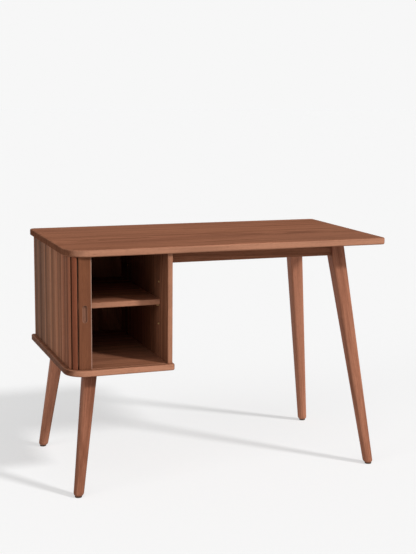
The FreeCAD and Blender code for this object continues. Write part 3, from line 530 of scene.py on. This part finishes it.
def wood(name, light, dark, along="X", ring=0.012, pith=(0.0, -0.05), rise=0.04, figure=0.5,
         sheen=0.02, coat=0.0, carried=False, bare=None):
    """Sawn wood. The rings are noise along the distance from a pith line that runs with the grain, rises
    a little and wanders, which draws arches on a board sawn near it; fibres and pores are noise drawn
    out along the grain. Front edges show paler edge grain, eased edges the edge colour, and the ends
    darker end grain; where a painted highlight colour is given, the eased edges are painted with it, a
    painted highlight. A piece that carries its own grain places keeps its figure along its slope."""
    shader = Shader(name)
    x, y, z = shader.carried("grain") if carried else shader.place()
    tone = shader.own("tone")
    far, near, deep = {"X": (x, y, z), "Y": (y, x, z), "Z": (z, y, x)}[along]
    point = far, near, deep = far + tone * 5.3, near + tone * 1.7, deep
    wander = shader.noise(point, WANDER)
    cast = shader.noise(point, CAST, 1.0).between(0.35, 0.7)
    ripple = shader.noise(point, RIPPLE, 3.0)
    off = near - pith[0] + (wander - 0.5) * WANDERING
    down = deep - pith[1] + far * rise + (ripple - 0.5) * RIPPLING
    distance = (off * off + down * down).root()
    rings = shader.grain(distance / ring, 3.0, 0.65).between(0.36, 0.66)
    streak = shader.noise(point, STREAK, 3.0, 0.6).between(0.40, 0.70)
    fibre = shader.noise(point, FIBRE, 3.0, 0.6)
    pores = shader.noise(point, PORES, 1.0).between(0.60, 0.70)
    shade = rings * figure + streak * 0.3 + (fibre - 0.5) * 1.1 + (0.28 - figure * 0.4)
    plain = shader.mix((shade + tone * 0.3).between(-0.1, 1.1), light, dark)
    plain = shader.mix(cast * 0.22, plain, scaled(dark, (1.0, 1.0, 1.2)))
    facing = shader.apart(shader.node("ShaderNodeNewGeometry", output="Normal"))
    front = abs(facing[1]).between(0.55, 0.9) * shader.own("edged") * 0.75
    end = abs(facing["XYZ".index(along)]).between(0.6, 0.95) * 0.6
    striped = shader.mix(streak, paint("edge"), paint("edge", 0.66))
    # Marked edges and board fronts turn toward the streaked edge colour; on the lead rail the marks are
    # painted with the highlight colour instead.
    edge_marks = shader.mix((shader.own("arris") * 0.3).most(front), plain, striped if bare is None else bare)
    sawn = shader.mix(end, edge_marks, scaled(dark, 0.5))
    pored = shader.mix(pores * 0.38, sawn, paint("pore"))
    height = fibre * 0.5 - pores * 0.7
    return shader.finish(Base_Color=pored, Roughness=0.46 + fibre * 0.14, Specular_IOR_Level=sheen,
                         Normal=shader.bump(height, GRAIN_DEPTH, 0.6), Coat_Weight=coat,
                         Coat_Roughness=0.3)


def slat_wood(name):
    """Upright slats sawn from different boards: each slat's tone picks its colour and its figure."""
    shader = Shader(name)
    x, y, z = shader.place()
    tone = shader.own("tone")
    across = x + y
    streak = shader.noise((z * 1.4 + tone * 9.1, across * 70.0 + tone * 31.0, 0.0), None, 3.0, 0.6)
    fibre = shader.noise((z * 10.0 + tone * 3.7, across * 430.0, x * 430.0), None, 3.0, 0.6)
    pores = shader.noise((z, across, x), PORES, 1.0).between(0.60, 0.70)
    reddish = shader.mix(tone.between(0.0, 0.5, "LINEAR"), paint("slat_red"), paint("slat_brown"))
    body = shader.mix(tone.between(0.5, 1.0, "LINEAR"), reddish, paint("slat_grey"))
    body = shader.mix(0.24 - (tone * 41.0).sine() * 0.24, body, paint("pore"))
    dark = shader.mix(0.55, body, paint("pore"))
    shade = (streak.between(0.36, 0.70) * 0.6 + (fibre - 0.5) * 0.9).between(0.0, 1.0)
    painted_light_and_wear = shader.own("arris")
    plain = shader.mix((painted_light_and_wear * 0.2).most(0.0), shader.mix(shade, body, dark), paint("edge"))
    # Painted shade: below zero the marks darken the slat's sides toward the pore colour, standing in for the
    # shade in the gaps between slats, together with the sides' darker finish.
    gap_shaded = shader.mix((painted_light_and_wear * -0.9).most(0.0), plain, paint("pore"))
    pored = shader.mix(pores * 0.35, gap_shaded, paint("pore"))
    height = fibre * 0.5 - pores * 0.7
    return shader.finish(Base_Color=pored, Roughness=0.46 + fibre * 0.14,
                         Normal=shader.bump(height, GRAIN_DEPTH, 0.6), Specular_IOR_Level=0.02)


def metal(name, tone, rough):
    """Turned metal with faint tool marks and a slightly cloudy polish."""
    shader = Shader(name)
    point = shader.place()
    cloud = shader.noise(point, (90.0, 90.0, 90.0), 3.0)
    marks = shader.noise(point, (2200.0, 300.0, 300.0))
    shaded = shader.mix(cloud.between(0.3, 0.75) * 0.35, tone, scaled(tone, 0.55))
    return shader.finish(Base_Color=shaded, Metallic=1.0, Roughness=rough + cloud * 0.15,
                         Normal=shader.bump(marks, 0.00003, 0.5))


def cloth(name):
    """Plain weave: warp and weft are two sine waves that take turns to lie on top."""
    shader = Shader(name)
    x, y, z = shader.place()
    warp, weft = ((x + y) * 5200.0).sine(), (z * 5200.0).sine()
    weave = (warp * weft) * 0.5 + 0.5
    slub = shader.noise((x, y, z), (900.0, 900.0, 60.0))
    shaded = shader.mix(weave * 0.5 + slub * 0.4, paint("canvas", 0.6), paint("canvas"))
    return shader.finish(Base_Color=shaded, Roughness=0.9 - slub * 0.1,
                         Normal=shader.bump(weave, 0.0002, 0.7))


def plastic(name):
    """Moulded nylon with a fine spark texture."""
    shader = Shader(name)
    speckle = shader.noise(shader.place(), (1800.0, 1800.0, 1800.0))
    shaded = shader.mix(speckle.between(0.35, 0.7), paint("glide", 0.75), paint("glide"))
    return shader.finish(Base_Color=shaded, Roughness=0.5 + speckle * 0.15,
                         Normal=shader.bump(speckle, 0.00005, 0.6))


def walnut(name, along, part, shares=(1.0, 1.0), **saw):
    """Walnut in a part's own two colours, each times its share."""
    light, dark = (paint(part + "_" + kind, share) for kind, share in zip(("light", "dark"), shares))
    return wood(name, light, dark, along, **saw)


MAKERS = {
    "walnut_top": lambda name, along: walnut(name, along, "top", ring=0.010, pith=(-0.06, 0.70),
                                             rise=0.05, figure=0.52, sheen=0.0),
    "walnut_carcass": lambda name, along: walnut(name, along, "carcass", ring=0.011, pith=(0.05, -0.12),
                                                 rise=0.03),
    # Painted light: the interior walnut is the carcass colours made paler, standing in for the light that
    # reaches the inner wall and the shelf.
    "walnut_interior": lambda name, along: walnut(name, along, "carcass", (1.2, 1.15), ring=0.014,
                                                  pith=(0.1, -0.3), rise=0.02),
    "walnut_leg": lambda name, along: walnut(name, along, "leg", ring=0.02, pith=(0.9, 0.4), rise=0.01,
                                             figure=0.15, coat=0.15, carried=True),
    # The lead rail's marked edges are painted with a pale highlight colour, a painted highlight.
    "walnut_rail": lambda name, along: walnut(name, along, "rail", ring=0.012, pith=(0.02, 0.6),
                                              rise=0.01, figure=0.08, bare=paint("rail_edge_highlight")),
    "walnut_slat": lambda name, along: slat_wood(name),
    "beech": lambda name, along: wood(name, paint("beech"), paint("beech", 0.72), along, ring=0.02,
                                      pith=(0.3, 0.2), rise=0.05, figure=0.35),
    "brass": lambda name, along: metal(name, paint("brass"), 0.4),
    "steel": lambda name, along: metal(name, paint("steel"), 0.34),
    "glide_plastic": lambda name, along: plastic(name),
    "canvas": lambda name, along: cloth(name),
}


def finish_for(slot, along="Z"):
    """The material for one of the record's slots, made once."""
    name = slot + "_" + along.lower()
    return bpy.data.materials.get(name) or MAKERS[slot](name, along)


# ---- the desk's measures ----

def boards():
    return bpy.context.scene.desk_boards


def tambour():
    return bpy.context.scene.desk_tambour


def legs():
    return bpy.context.scene.desk_legs


def track_line():
    """The track's middle line: front run, a quarter circle and the side run, up to the back panel."""
    sizes = tambour()
    inset, near = sizes.track_inset, sizes.track_inset + sizes.track_corner
    turn = np.linspace(0.0, QUARTER, 25)
    bend = near - sizes.track_corner * np.stack((np.sin(turn), np.cos(turn)), -1)
    beside = near + 0.002  # a point on each straight, close to the bend, that keeps it straight
    front_end, back_end = span("side_panel")[0][0], span("back_panel")[0][1]
    return np.concatenate(([(front_end, inset), (beside, inset)], bend,
                           [(inset, beside), (inset, back_end)]))


def track_groove(low, high):
    """The shape of the routed track between two heights."""
    half = tambour().track_width / 2
    return along_path(track_line(), rectangle(-half, low, half, high))


def track_pose(number):
    """Where a slat's middle stands on the canvas line, and its two directions, across and outward: on the
    corner the point is the centre less radius * (sin a, cos a) at a = run / radius, and beyond it the
    line runs straight back."""
    sizes = tambour()
    radius = sizes.track_corner - sizes.thickness + sizes.proud
    corner = sizes.track_inset + sizes.track_corner
    first = corner - sizes.lead_offset + sizes.lead_gap + sizes.width / 2
    run = first + sizes.pitch * (number - 1)
    angle = min(run / radius, QUARTER)
    spot = np.array([corner - radius * np.sin(angle), corner - radius * np.cos(angle)])
    spot[1] += max(0.0, run - radius * QUARTER)
    across = np.array([-np.cos(angle), np.sin(angle)])
    outward = np.array([-np.sin(angle), -np.cos(angle)])
    return spot, across, outward


def feet():
    """Each foot's side, end and middle, and the ways from it to the desk's middle."""
    sizes = legs()
    for side, x, inward in (("left", sizes.left_inset, 1), ("right", WIDTH - sizes.right_inset, -1)):
        for end, y, backward in (("front", sizes.setback, 1), ("back", DEPTH - sizes.setback, -1)):
            yield side, end, (x, y), (inward, backward)


class DeskStep:
    """What the building steps share: each has a build method, which its button runs."""

    bl_options = {"REGISTER", "UNDO"}

    def execute(self, context):
        self.build(context)
        return {"FINISHED"}


class DESK_OT_desktop(DeskStep, bpy.types.Operator):
    """Makes the desktop: one board with a big front left corner and the slats' track under it"""

    bl_idname = "desk.desktop"
    bl_label = "Desktop"

    def build(self, context):
        sizes = boards()
        low, high = span("desktop")
        corner = (sizes.top_big_corner, sizes.top_corner, sizes.top_corner, sizes.top_corner)
        top = shape("desktop_board", [board(low, high, corner, sizes.top_arris)])
        carve(top, track_groove(low[2] - CLEAR, low[2] + tambour().track_depth))
        settle(top, "walnut_top", "X", stands_for=["desktop"], edged=1.2)


def peg_rods(profile, rows, walls=(0, 1), looped=False):
    """A turned shape in each peg hole of these rows and walls, set out from the wall's face. Rows run
    from the lowest, and the right wall comes first."""
    sizes = boards()
    faces = ((span("side_panel")[0][0], 1.0), (span("inner_side_panel")[1][0], -1.0))
    heights = (sizes.peg_row_low, span("shelf")[0][2] - sizes.peg_radius, sizes.peg_row_high)
    return [turned(profile, (face, y, heights[row]), (way, 0.0, 0.0), looped)
            for face, way in (faces[wall] for wall in walls)
            for y in (sizes.peg_setback, DEPTH - sizes.peg_setback) for row in rows]


def peg_holes(wall):
    """One wall's peg holes, as rods to cut it with."""
    radius, above, depth = boards().peg_radius + 0.0001, 0.002, 0.009
    return peg_rods([(radius, -above), (radius, depth)], (0, 1, 2), [wall])


class DESK_OT_cabinet(DeskStep, bpy.types.Operator):
    """Makes the cabinet: base, panels, inner wall and shelf"""

    bl_idname = "desk.cabinet"
    bl_label = "Cabinet"

    def build(self, context):
        sizes = boards()
        low, high = span("cabinet_base")
        corner = (sizes.base_big_corner, sizes.base_corner, sizes.base_corner, sizes.base_corner)
        base = shape("base_board", [board(low, high, corner, sizes.base_arris)])
        carve(base, track_groove(high[2] - tambour().track_depth, high[2] + CLEAR))
        settle(base, "walnut_carcass", "X", stands_for=["cabinet_base"], tone=0.31, edged=1.0)
        hair = 0.0003
        panel = shape("side_board", [board(*span("side_panel"), sizes.panel_corner, hair)])
        carve(panel, *peg_holes(0))
        settle(panel, "walnut_carcass", stands_for=["side_panel"], tone=0.62, edged=0.8)
        back_corner = (0.0, 0.0, 0.0, sizes.panel_corner)
        back = shape("back_board", [board(*span("back_panel"), back_corner, hair)])
        settle(back, "walnut_carcass", stands_for=["back_panel"], tone=0.18)
        liner = shape("inner_board", [board(*span("inner_side_panel"), 0.0008, hair)])
        carve(liner, *peg_holes(1))
        settle(liner, "walnut_interior", stands_for=["inner_side_panel"], tone=0.85, edged=1.0)
        low, high = span("shelf")
        front, back = sizes.shelf_arris, 0.0005
        outline = filleted(rectangle(low[1], low[2], high[1], high[2]), [front, back, back, front])
        rings = np.stack([np.insert(outline, 0, x, axis=1) for x in (low[0], high[0])])
        shelf = shape("shelf_board", [skin(rings)])
        settle(shelf, "walnut_interior", "X", stands_for=["shelf"], tone=0.47, edged=1.0)


class DESK_OT_pegs(DeskStep, bpy.types.Operator):
    """Makes the shelf's brass pegs and the sleeves in the empty peg holes"""

    bl_idname = "desk.pegs"
    bl_label = "Pegs"

    def build(self, context):
        radius, reach, dome = boards().peg_radius, boards().peg_reach, 0.0008
        turn = np.linspace(0.0, QUARTER, 6)
        head = np.stack((radius - dome + dome * np.sin(turn), dome * (1 - np.cos(turn)) - reach), -1)
        pip, buried = 0.0004, 0.0085
        profile = np.concatenate(([(pip, -reach)], head, [(radius, buried)]))
        settle(shape("brass_pegs", peg_rods(profile, [1])), "brass", stands_for=["shelf_pegs"])
        bore, flange, lip, ease, depth = radius - 0.0006, radius + 0.0014, 0.0005, 0.0003, 0.006
        ring = [(bore, depth), (bore, ease - lip), (bore + ease, -lip), (flange - ease, -lip),
                (flange, ease - lip), (flange, 0.0), (radius, 0.0), (radius, depth)]
        settle(shape("brass_sleeves", peg_rods(ring, (0, 2), looped=True)), "brass")


def tongued(node, outline, tongue, place, edge_marks=None):
    """A node's upright and its two tongues, where place is a spot and the ways across and outward."""
    low, high = (corner[2] for corner in span(node))
    inset, lap = tambour().tongue_reach + tambour().end_play, 0.002
    return [carried(outline, *place, low + inset, high - inset, edge_marks),
            carried(tongue, *place, low, low + inset + lap),
            carried(tongue, *place, high - inset - lap, high)]


class DESK_OT_slats(DeskStep, bpy.types.Operator):
    """Makes the tambour's slats, each crowned on its face and tongued at both ends"""

    bl_idname = "desk.slats"
    bl_label = "Slats"

    def build(self, context):
        sizes = tambour()
        half, shoulder = sizes.width / 2, sizes.thickness - sizes.crown
        back, front, crest, steps = 0.0004, 0.0026, 0.021, 9
        outline = filleted([(-half, 0.0), (half, 0.0), (half, shoulder), (0.0, shoulder + 2 * sizes.crown),
                            (-half, shoulder)], [back, back, front, crest, front], steps)
        # Below zero the slat's sides and back are painted with the shade of the gaps between slats, partly
        # their darker finish; above zero the crown's eased edges turn toward the edge colour.
        arris = (-1.0, -0.9, -0.6, 0.0, 0.5, 0.9, 1.0, 0.6, 0.0)  # from the groove round to the crown
        edge_marks = np.concatenate((np.full(2 * steps, -1.0), arris, np.zeros(steps), arris[::-1]))
        middle, thick = sizes.thickness - sizes.proud, sizes.tongue_thickness / 2
        wide = sizes.tongue_width / 2
        tongue = filleted(rectangle(-wide, middle - thick, wide, middle + thick), 0.0006, 4)
        golden = 0.618034
        for body, numbers in SLATS.items():
            for number in numbers:
                node = f"slat_{number:02d}"
                made = shape("tambour_" + node, tongued(node, outline, tongue, track_pose(number), edge_marks))
                tone = 0.028 * number + 0.22 * (golden * (number - 1) % 1.0)
                settle(made, "walnut_slat", body=body, stands_for=[node], tone=tone)


class DESK_OT_lead_rail(DeskStep, bpy.types.Operator):
    """Makes the lead rail, with rounded front edges and the finger pull"""

    bl_idname = "desk.lead_rail"
    bl_label = "Lead rail"

    def build(self, context):
        sizes = tambour()
        wide, thick, lap = sizes.lead_width, sizes.lead_thickness, sizes.canvas_lap
        front, back, step, heel = sizes.lead_arris, 0.0006, 0.0003, 0.0004
        outline = filleted([(0.0, 0.0), (wide, 0.0), (wide, thick), (lap, thick), (lap, sizes.thickness),
                            (0.0, sizes.thickness)], [front, front, back, back, step, heel], 9)
        left, right, half = 0.0125, 0.0345, sizes.tongue_thickness / 2
        tongue = filleted(rectangle(left, sizes.proud - half, right, sizes.proud + half), 0.0006, 4)
        spot = (sizes.lead_offset, sizes.track_inset - sizes.proud)
        upright, *tongues = tongued("tambour_lead_rail", outline, tongue, (spot, (1.0, 0.0), (0.0, 1.0)))
        rail = shape("lead_board", [upright])
        carve(rail, self.pull(spot))
        self.painted_light_and_wear(rail.data, spot)
        settle(shape("lead_tongues", tongues), "walnut_rail", body="lead_rail", tone=0.4)
        settle(rail, "walnut_rail", body="lead_rail", stands_for=["tambour_lead_rail"], tone=0.4)

    def painted_light_and_wear(self, mesh, spot):
        """Marks for a painted highlight: 2 * sin 2t round the right front arris, where t is the angle round
        it, and 0.7 on the pull's lip; the pull's floor is marked 0.4, which makes it paler."""
        touch, lip_depth, sole_rise = 1e-5, 0.0016, 0.0008
        sizes = tambour()
        place = np.empty(3 * len(mesh.vertices), np.float32)
        mesh.vertices.foreach_get("co", place)
        across, back = (place[axis::3] - ORIGIN[axis] - spot[axis] for axis in (0, 1))
        turn = np.arctan2(across - sizes.lead_width + sizes.lead_arris, sizes.lead_arris - back)
        edge = (turn > 0) & (back < sizes.lead_arris - touch / 10)
        near = abs(across - sizes.pull_offset) < sizes.pull_width
        lip = near & (back > touch) & (back < lip_depth)
        sole = near & (back > sizes.pull_depth - sole_rise) & (back < sizes.pull_depth + touch)
        edge_marks = np.where(edge, 2.0 * np.sin(2 * turn), 0.0) + 0.7 * (lip & ~edge) + 0.4 * sole
        own = mesh.attributes.get("arris") or mesh.attributes.new("arris", "FLOAT", "POINT")
        own.data.foreach_set("value", edge_marks.astype(np.float32))

    def pull(self, spot):
        """A slot with round ends: each ring is the slot's outline, and its half width follows a quarter
        circle out at the mouth and in at the bottom."""
        sizes = tambour()
        half, straight = sizes.pull_width / 2, (sizes.pull_length - sizes.pull_width) / 2
        lip, sole, above, steps = 0.0012, 0.0025, 0.002, 17
        mouth = np.stack((half + lip * (1 - np.sin(EASE)), lip * (1 - np.cos(EASE))), -1)
        floor = np.stack((half - sole * (1 - np.cos(EASE)),
                          sizes.pull_depth - sole * (1 - np.sin(EASE))), -1)
        profile = np.concatenate(([(half + lip, -above)], mouth, floor))
        angle = np.concatenate((np.linspace(0.0, np.pi, steps), np.linspace(np.pi, 2 * np.pi, steps)))
        centre = np.repeat((straight, -straight), steps)
        x = spot[0] + sizes.pull_offset + profile[:, 0, None] * np.cos(angle)
        z = sizes.pull_height + centre + profile[:, 0, None] * np.sin(angle)
        y = np.broadcast_to(spot[1] + profile[:, 1, None], x.shape)
        return skin(np.stack((x, y, z), -1))


class DESK_OT_canvas(DeskStep, bpy.types.Operator):
    """Makes the canvas behind the slats, one strip for each part of the tambour that moves by itself"""

    bl_idname = "desk.canvas"
    bl_label = "Canvas"

    def build(self, context):
        sizes = tambour()
        low, high = (corner[2] for corner in span("tambour_canvas"))
        thick, half = sizes.canvas_thickness, sizes.pitch / 2
        for body, numbers in SLATS.items():
            if numbers:
                end = sizes.pitch * (numbers[-1] - numbers[0]) + half
                strip = filleted(rectangle(-half, -thick, end, 0.0), thick * 0.4, 3)
                made = shape("canvas_" + body, [carried(strip, *track_pose(numbers[0]), low, high)])
                settle(made, "canvas", body=body)
        left, inset = sizes.lead_offset, sizes.track_inset + sizes.thickness - sizes.proud
        strip = rectangle(left, inset, left + sizes.canvas_lap, inset + thick)
        made = shape("canvas_lead", [carried(strip, (0.0, 0.0), (1.0, 0.0), (0.0, 1.0), low, high)])
        settle(made, "canvas", body="lead_rail", stands_for=["tambour_canvas"])


class DESK_OT_aprons(DeskStep, bpy.types.Operator):
    """Makes the three aprons under the desktop"""

    bl_idname = "desk.aprons"
    bl_label = "Aprons"

    def build(self, context):
        for node, along, tone in (("front_apron", "X", 0.12), ("back_apron", "X", 0.7),
                                  ("end_apron", "Y", 0.42)):
            made = shape(node + "_board", [board(*span(node), 0.0, boards().small_arris)])
            settle(made, "walnut_carcass", along, stands_for=[node], tone=tone)


class DESK_OT_legs(DeskStep, bpy.types.Operator):
    """Makes the four splayed legs, square at the top and nearly round at the foot"""

    bl_idname = "desk.legs"
    bl_label = "Legs"

    def build(self, context):
        sizes, step, rows = legs(), span("front_apron")[0][2], 40
        # Painted light and shade: these tones darken the front legs and make the back legs paler, besides
        # shifting each leg's figure.
        figure_and_painted_light = (1.25, -0.5, 0.3, -0.9)
        for (side, end, foot, way), tone in zip(feet(), figure_and_painted_light):
            node = "leg_" + end + "_" + side
            lean = np.array([way[0] * sizes.lean_across, way[1] * sizes.lean_deep])
            low, high = (corner[2] for corner in span(node))
            height = np.linspace(low + 1.1 * sizes.foot_round, high, rows)
            if side == "right":
                height = np.sort(np.append(height, (step, step)))
            height = np.concatenate((low + sizes.foot_round * (1 - np.cos(EASE)), height))
            inset = np.zeros(len(height))
            inset[:len(EASE)] = sizes.foot_round * (1 - np.sin(EASE))
            rings, edge = self.rings(foot, lean, side == "left", height, inset)
            grain = rings - np.append(lean, 0.0) * rings[..., 2:]
            if side == "right":
                first = len(EASE) + int(np.searchsorted(height[len(EASE):], step)) + 1
                self.shoulder(rings[first:], way[1])
            made = shape(node + "_post", [skin(rings, edge)])
            flow = made.data.attributes.new("grain", "FLOAT_VECTOR", "POINT")
            flow.data.foreach_set("vector", grain.astype(np.float32).ravel())
            settle(made, "walnut_leg", stands_for=[node], tone=tone)

    def rings(self, foot, lean, short, height, inset):
        """Point = foot + lean * height + radius * (cos t, sin t). The radius is a superellipse's,
        half / (|cos t|^n + |sin t|^n)^(1/n), with the n that gives the arris's radius at 45 degrees."""
        sizes = legs()
        taper, growth = ((sizes.short_taper, sizes.short_arris) if short
                         else (sizes.long_taper, sizes.long_arris))
        spokes = 96
        turn = np.linspace(0.0, 2 * np.pi, spokes, endpoint=False)
        way = np.stack((np.cos(turn), np.sin(turn)), -1)
        height, inset = height[:, None], inset[:, None]
        half = (sizes.foot_size + taper * height) / 2
        power = 1 / (0.5 - np.log2((sizes.foot_radius + growth * height) / half))
        radius = half / (np.abs(way) ** power[..., None]).sum(-1) ** (1 / power)
        middle = np.asarray(foot) + height * lean
        flat = middle[:, None, :] + (radius - inset)[..., None] * way
        eased = np.broadcast_to(0.5 * np.sin(2 * turn) ** 8, flat.shape[:2])
        return raised(flat, height[..., None]), eased

    def shoulder(self, rings, backward):
        """Holds the points beside the aprons back to the aprons' ends and to the corner block."""
        front, back, end = span("front_apron"), span("back_apron"), span("end_apron")
        rings[..., 0] = np.maximum(rings[..., 0], front[1][0])
        if backward > 0:
            rings[..., 1] = np.minimum(rings[..., 1], end[0][1])
            corner = (end[0][0], front[1][1])
        else:
            rings[..., 1] = np.maximum(rings[..., 1], end[1][1])
            corner = (end[0][0], back[0][1])
        over = (corner[0] - rings[..., 0]) + backward * (rings[..., 1] - corner[1]) - legs().block_offset
        over = np.maximum(over, 0.0) / 2
        rings[..., 0] += over
        rings[..., 1] -= backward * over


class DESK_OT_glides(DeskStep, bpy.types.Operator):
    """Makes the feet's nylon glides"""

    bl_idname = "desk.glides"
    bl_label = "Glides"

    def build(self, context):
        radius, ease, rise = legs().glide_radius, 0.0015, span("foot_glides")[1][2]
        turn = np.linspace(0.0, QUARTER, 6)
        rim = np.stack((radius - ease * (1 - np.sin(turn)), ease * (1 - np.cos(turn))), -1)
        hollow = [(0.002, 0.0004), (radius - 0.005, 0.0)]
        profile = np.concatenate((hollow, rim, [(radius, rise)]))
        discs = [turned(profile, (*foot, 0.0), (0.0, 0.0, 1.0), count=40) for _, _, foot, _ in feet()]
        settle(shape("nylon_glides", discs), "glide_plastic", stands_for=["foot_glides"])


class DESK_OT_fastenings(DeskStep, bpy.types.Operator):
    """Gives the blocks, tenons, splines, bolts and nuts their finishes"""

    bl_idname = "desk.fastenings"
    bl_label = "Fastenings"

    def build(self, context):
        for node, slot, along in (("wall_splines", "beech", "Y"), ("loose_tenons", "beech", "X"),
                                  ("glue_blocks", "beech", "X"), ("corner_blocks", "beech", "X"),
                                  ("corner_nuts", "steel", "Z"), ("hanger_bolts", "steel", "Z"),
                                  ("base_inserts", "brass", "Z")):
            kept = frame["nodes"][node]
            kept.data.materials.clear()
            kept.data.materials.append(finish_for(slot, along))


# A lamp's name, where its light comes from, its strength, and the angle in degrees that it fills.
LAMPS = (("key light", (0.53, -0.585, 0.615), 2.6, 7.0),
         ("front light", (-0.13, -0.63, 0.766), 0.64, 60.0),
         ("left light", (-0.85, -0.4, 0.34), 0.6, 28.0))
LENS = 72.85
STANDPOINT = (-1.2427, -3.4518, 1.2292)
YAW, PITCH, ROLL = np.radians((20.03, 9.54, 0.49))  # to the right, down, and against the clock
FLOOR_REACH, FLOOR_GLOW, SKY_FILL = 60.0, 0.58, 0.20


class DESK_OT_studio(DeskStep, bpy.types.Operator):
    """Makes the pale floor, the soft light and the camera"""

    bl_idname = "desk.studio"
    bl_label = "Studio"

    def build(self, context):
        self.floor()
        self.sky()
        for lamp in LAMPS:
            self.lamp(*lamp)
        camera = put("camera", bpy.data.cameras.new("camera"))
        camera.data.lens, camera.data.clip_end = LENS, 200.0
        camera.matrix_world = (Matrix.Translation(STANDPOINT) @ Matrix.Rotation(-YAW, 4, "Z")
                               @ Matrix.Rotation(QUARTER - PITCH, 4, "X") @ Matrix.Rotation(ROLL, 4, "Z"))
        context.scene.camera = camera
        context.scene.view_settings.view_transform = "Standard"

    def floor(self):
        """A wide floor. The camera sees it matt and glowing, as pale as the background and with its
        shadows; any other ray meets plain matt grey."""
        mesh = bpy.data.meshes.new("floor")
        corners = rectangle(-FLOOR_REACH, -FLOOR_REACH, FLOOR_REACH, FLOOR_REACH)
        mesh.from_pydata([(x, y, 0.0) for x, y in corners], [], [(0, 1, 2, 3)])
        shader = Shader("pale floor")
        nodes = shader.tree.nodes
        nodes.remove(nodes["Principled BSDF"])
        pale, matt = (shader.node("ShaderNodeBsdfDiffuse", inputs={"Color": (grey, grey, grey)})
                      for grey in (0.75, 0.42))
        glow = shader.node("ShaderNodeEmission", inputs={"Color": paint("floor"), "Strength": FLOOR_GLOW})
        seen = shader.node("ShaderNodeLightPath", output="Is Camera Ray")
        both = shader.node("ShaderNodeAddShader", inputs={0: matt, 1: glow})
        shown = shader.node("ShaderNodeMixShader", inputs={0: seen, 1: pale, 2: both})
        shader.put(nodes["Material Output"].inputs["Surface"], shown)
        mesh.materials.append(shader.material)
        put("floor", mesh)

    def sky(self):
        """A weak white fill, which the camera, gloss and glass see in the floor's colour."""
        world = bpy.data.worlds.new("studio")
        world.use_nodes = True
        bpy.context.scene.world = world
        shader = Shader("studio", world.node_tree)
        path = shader.node("ShaderNodeLightPath").socket.node
        seen, shiny, through = (Field(shader, path.outputs[name]) for name in
                                ("Is Camera Ray", "Is Glossy Ray", "Is Transmission Ray"))
        fill, back = (shader.node("ShaderNodeBackground", inputs={"Color": hue, "Strength": strength})
                      for hue, strength in (((1.0, 1.0, 1.0), SKY_FILL), (paint("floor"), 1.0)))
        both = shader.node("ShaderNodeMixShader", inputs={0: seen.most(shiny).most(through), 1: fill,
                                                          2: back})
        shader.put(world.node_tree.nodes["World Output"].inputs["Surface"], both)

    def lamp(self, name, source, strength, spread):
        """A sun whose light comes from a direction, softened over an angle in degrees."""
        light = bpy.data.lights.new(name, "SUN")
        light.energy, light.angle = strength, np.radians(spread)
        x, y, z = np.asarray(source) / np.linalg.norm(source)
        put(name, light).rotation_euler = Euler((np.arccos(z), 0.0, np.arctan2(x, -y)))


class DESK_PT_panel(bpy.types.Panel):
    """Lists the desk's building steps"""

    bl_idname = "DESK_PT_panel"
    bl_label = "Tambour Desk"
    bl_space_type = "VIEW_3D"
    bl_region_type = "UI"
    bl_category = "Desk"

    def draw(self, context):
        for step in STEPS:
            self.layout.operator(step.bl_idname)


STEPS = (DESK_OT_desktop, DESK_OT_cabinet, DESK_OT_pegs, DESK_OT_slats, DESK_OT_lead_rail, DESK_OT_canvas,
         DESK_OT_aprons, DESK_OT_legs, DESK_OT_glides, DESK_OT_fastenings, DESK_OT_studio)
GROUPS = {"desk_boards": DeskBoardSizes, "desk_tambour": DeskTambourSizes, "desk_legs": DeskLegSizes,
          "desk_colours": DeskColours}


def register():
    for kind in (*GROUPS.values(), *STEPS, DESK_PT_panel):
        bpy.utils.register_class(kind)
    for name, kind in GROUPS.items():
        setattr(bpy.types.Scene, name, bpy.props.PointerProperty(type=kind))


def unregister():
    for name in GROUPS:
        delattr(bpy.types.Scene, name)
    for kind in (DESK_PT_panel, *STEPS, *GROUPS.values()):
        bpy.utils.unregister_class(kind)


def main():
    register()
    for step in STEPS:
        getattr(bpy.ops.desk, step.bl_idname.split(".")[1])()


if __name__ == "__main__":
    main()
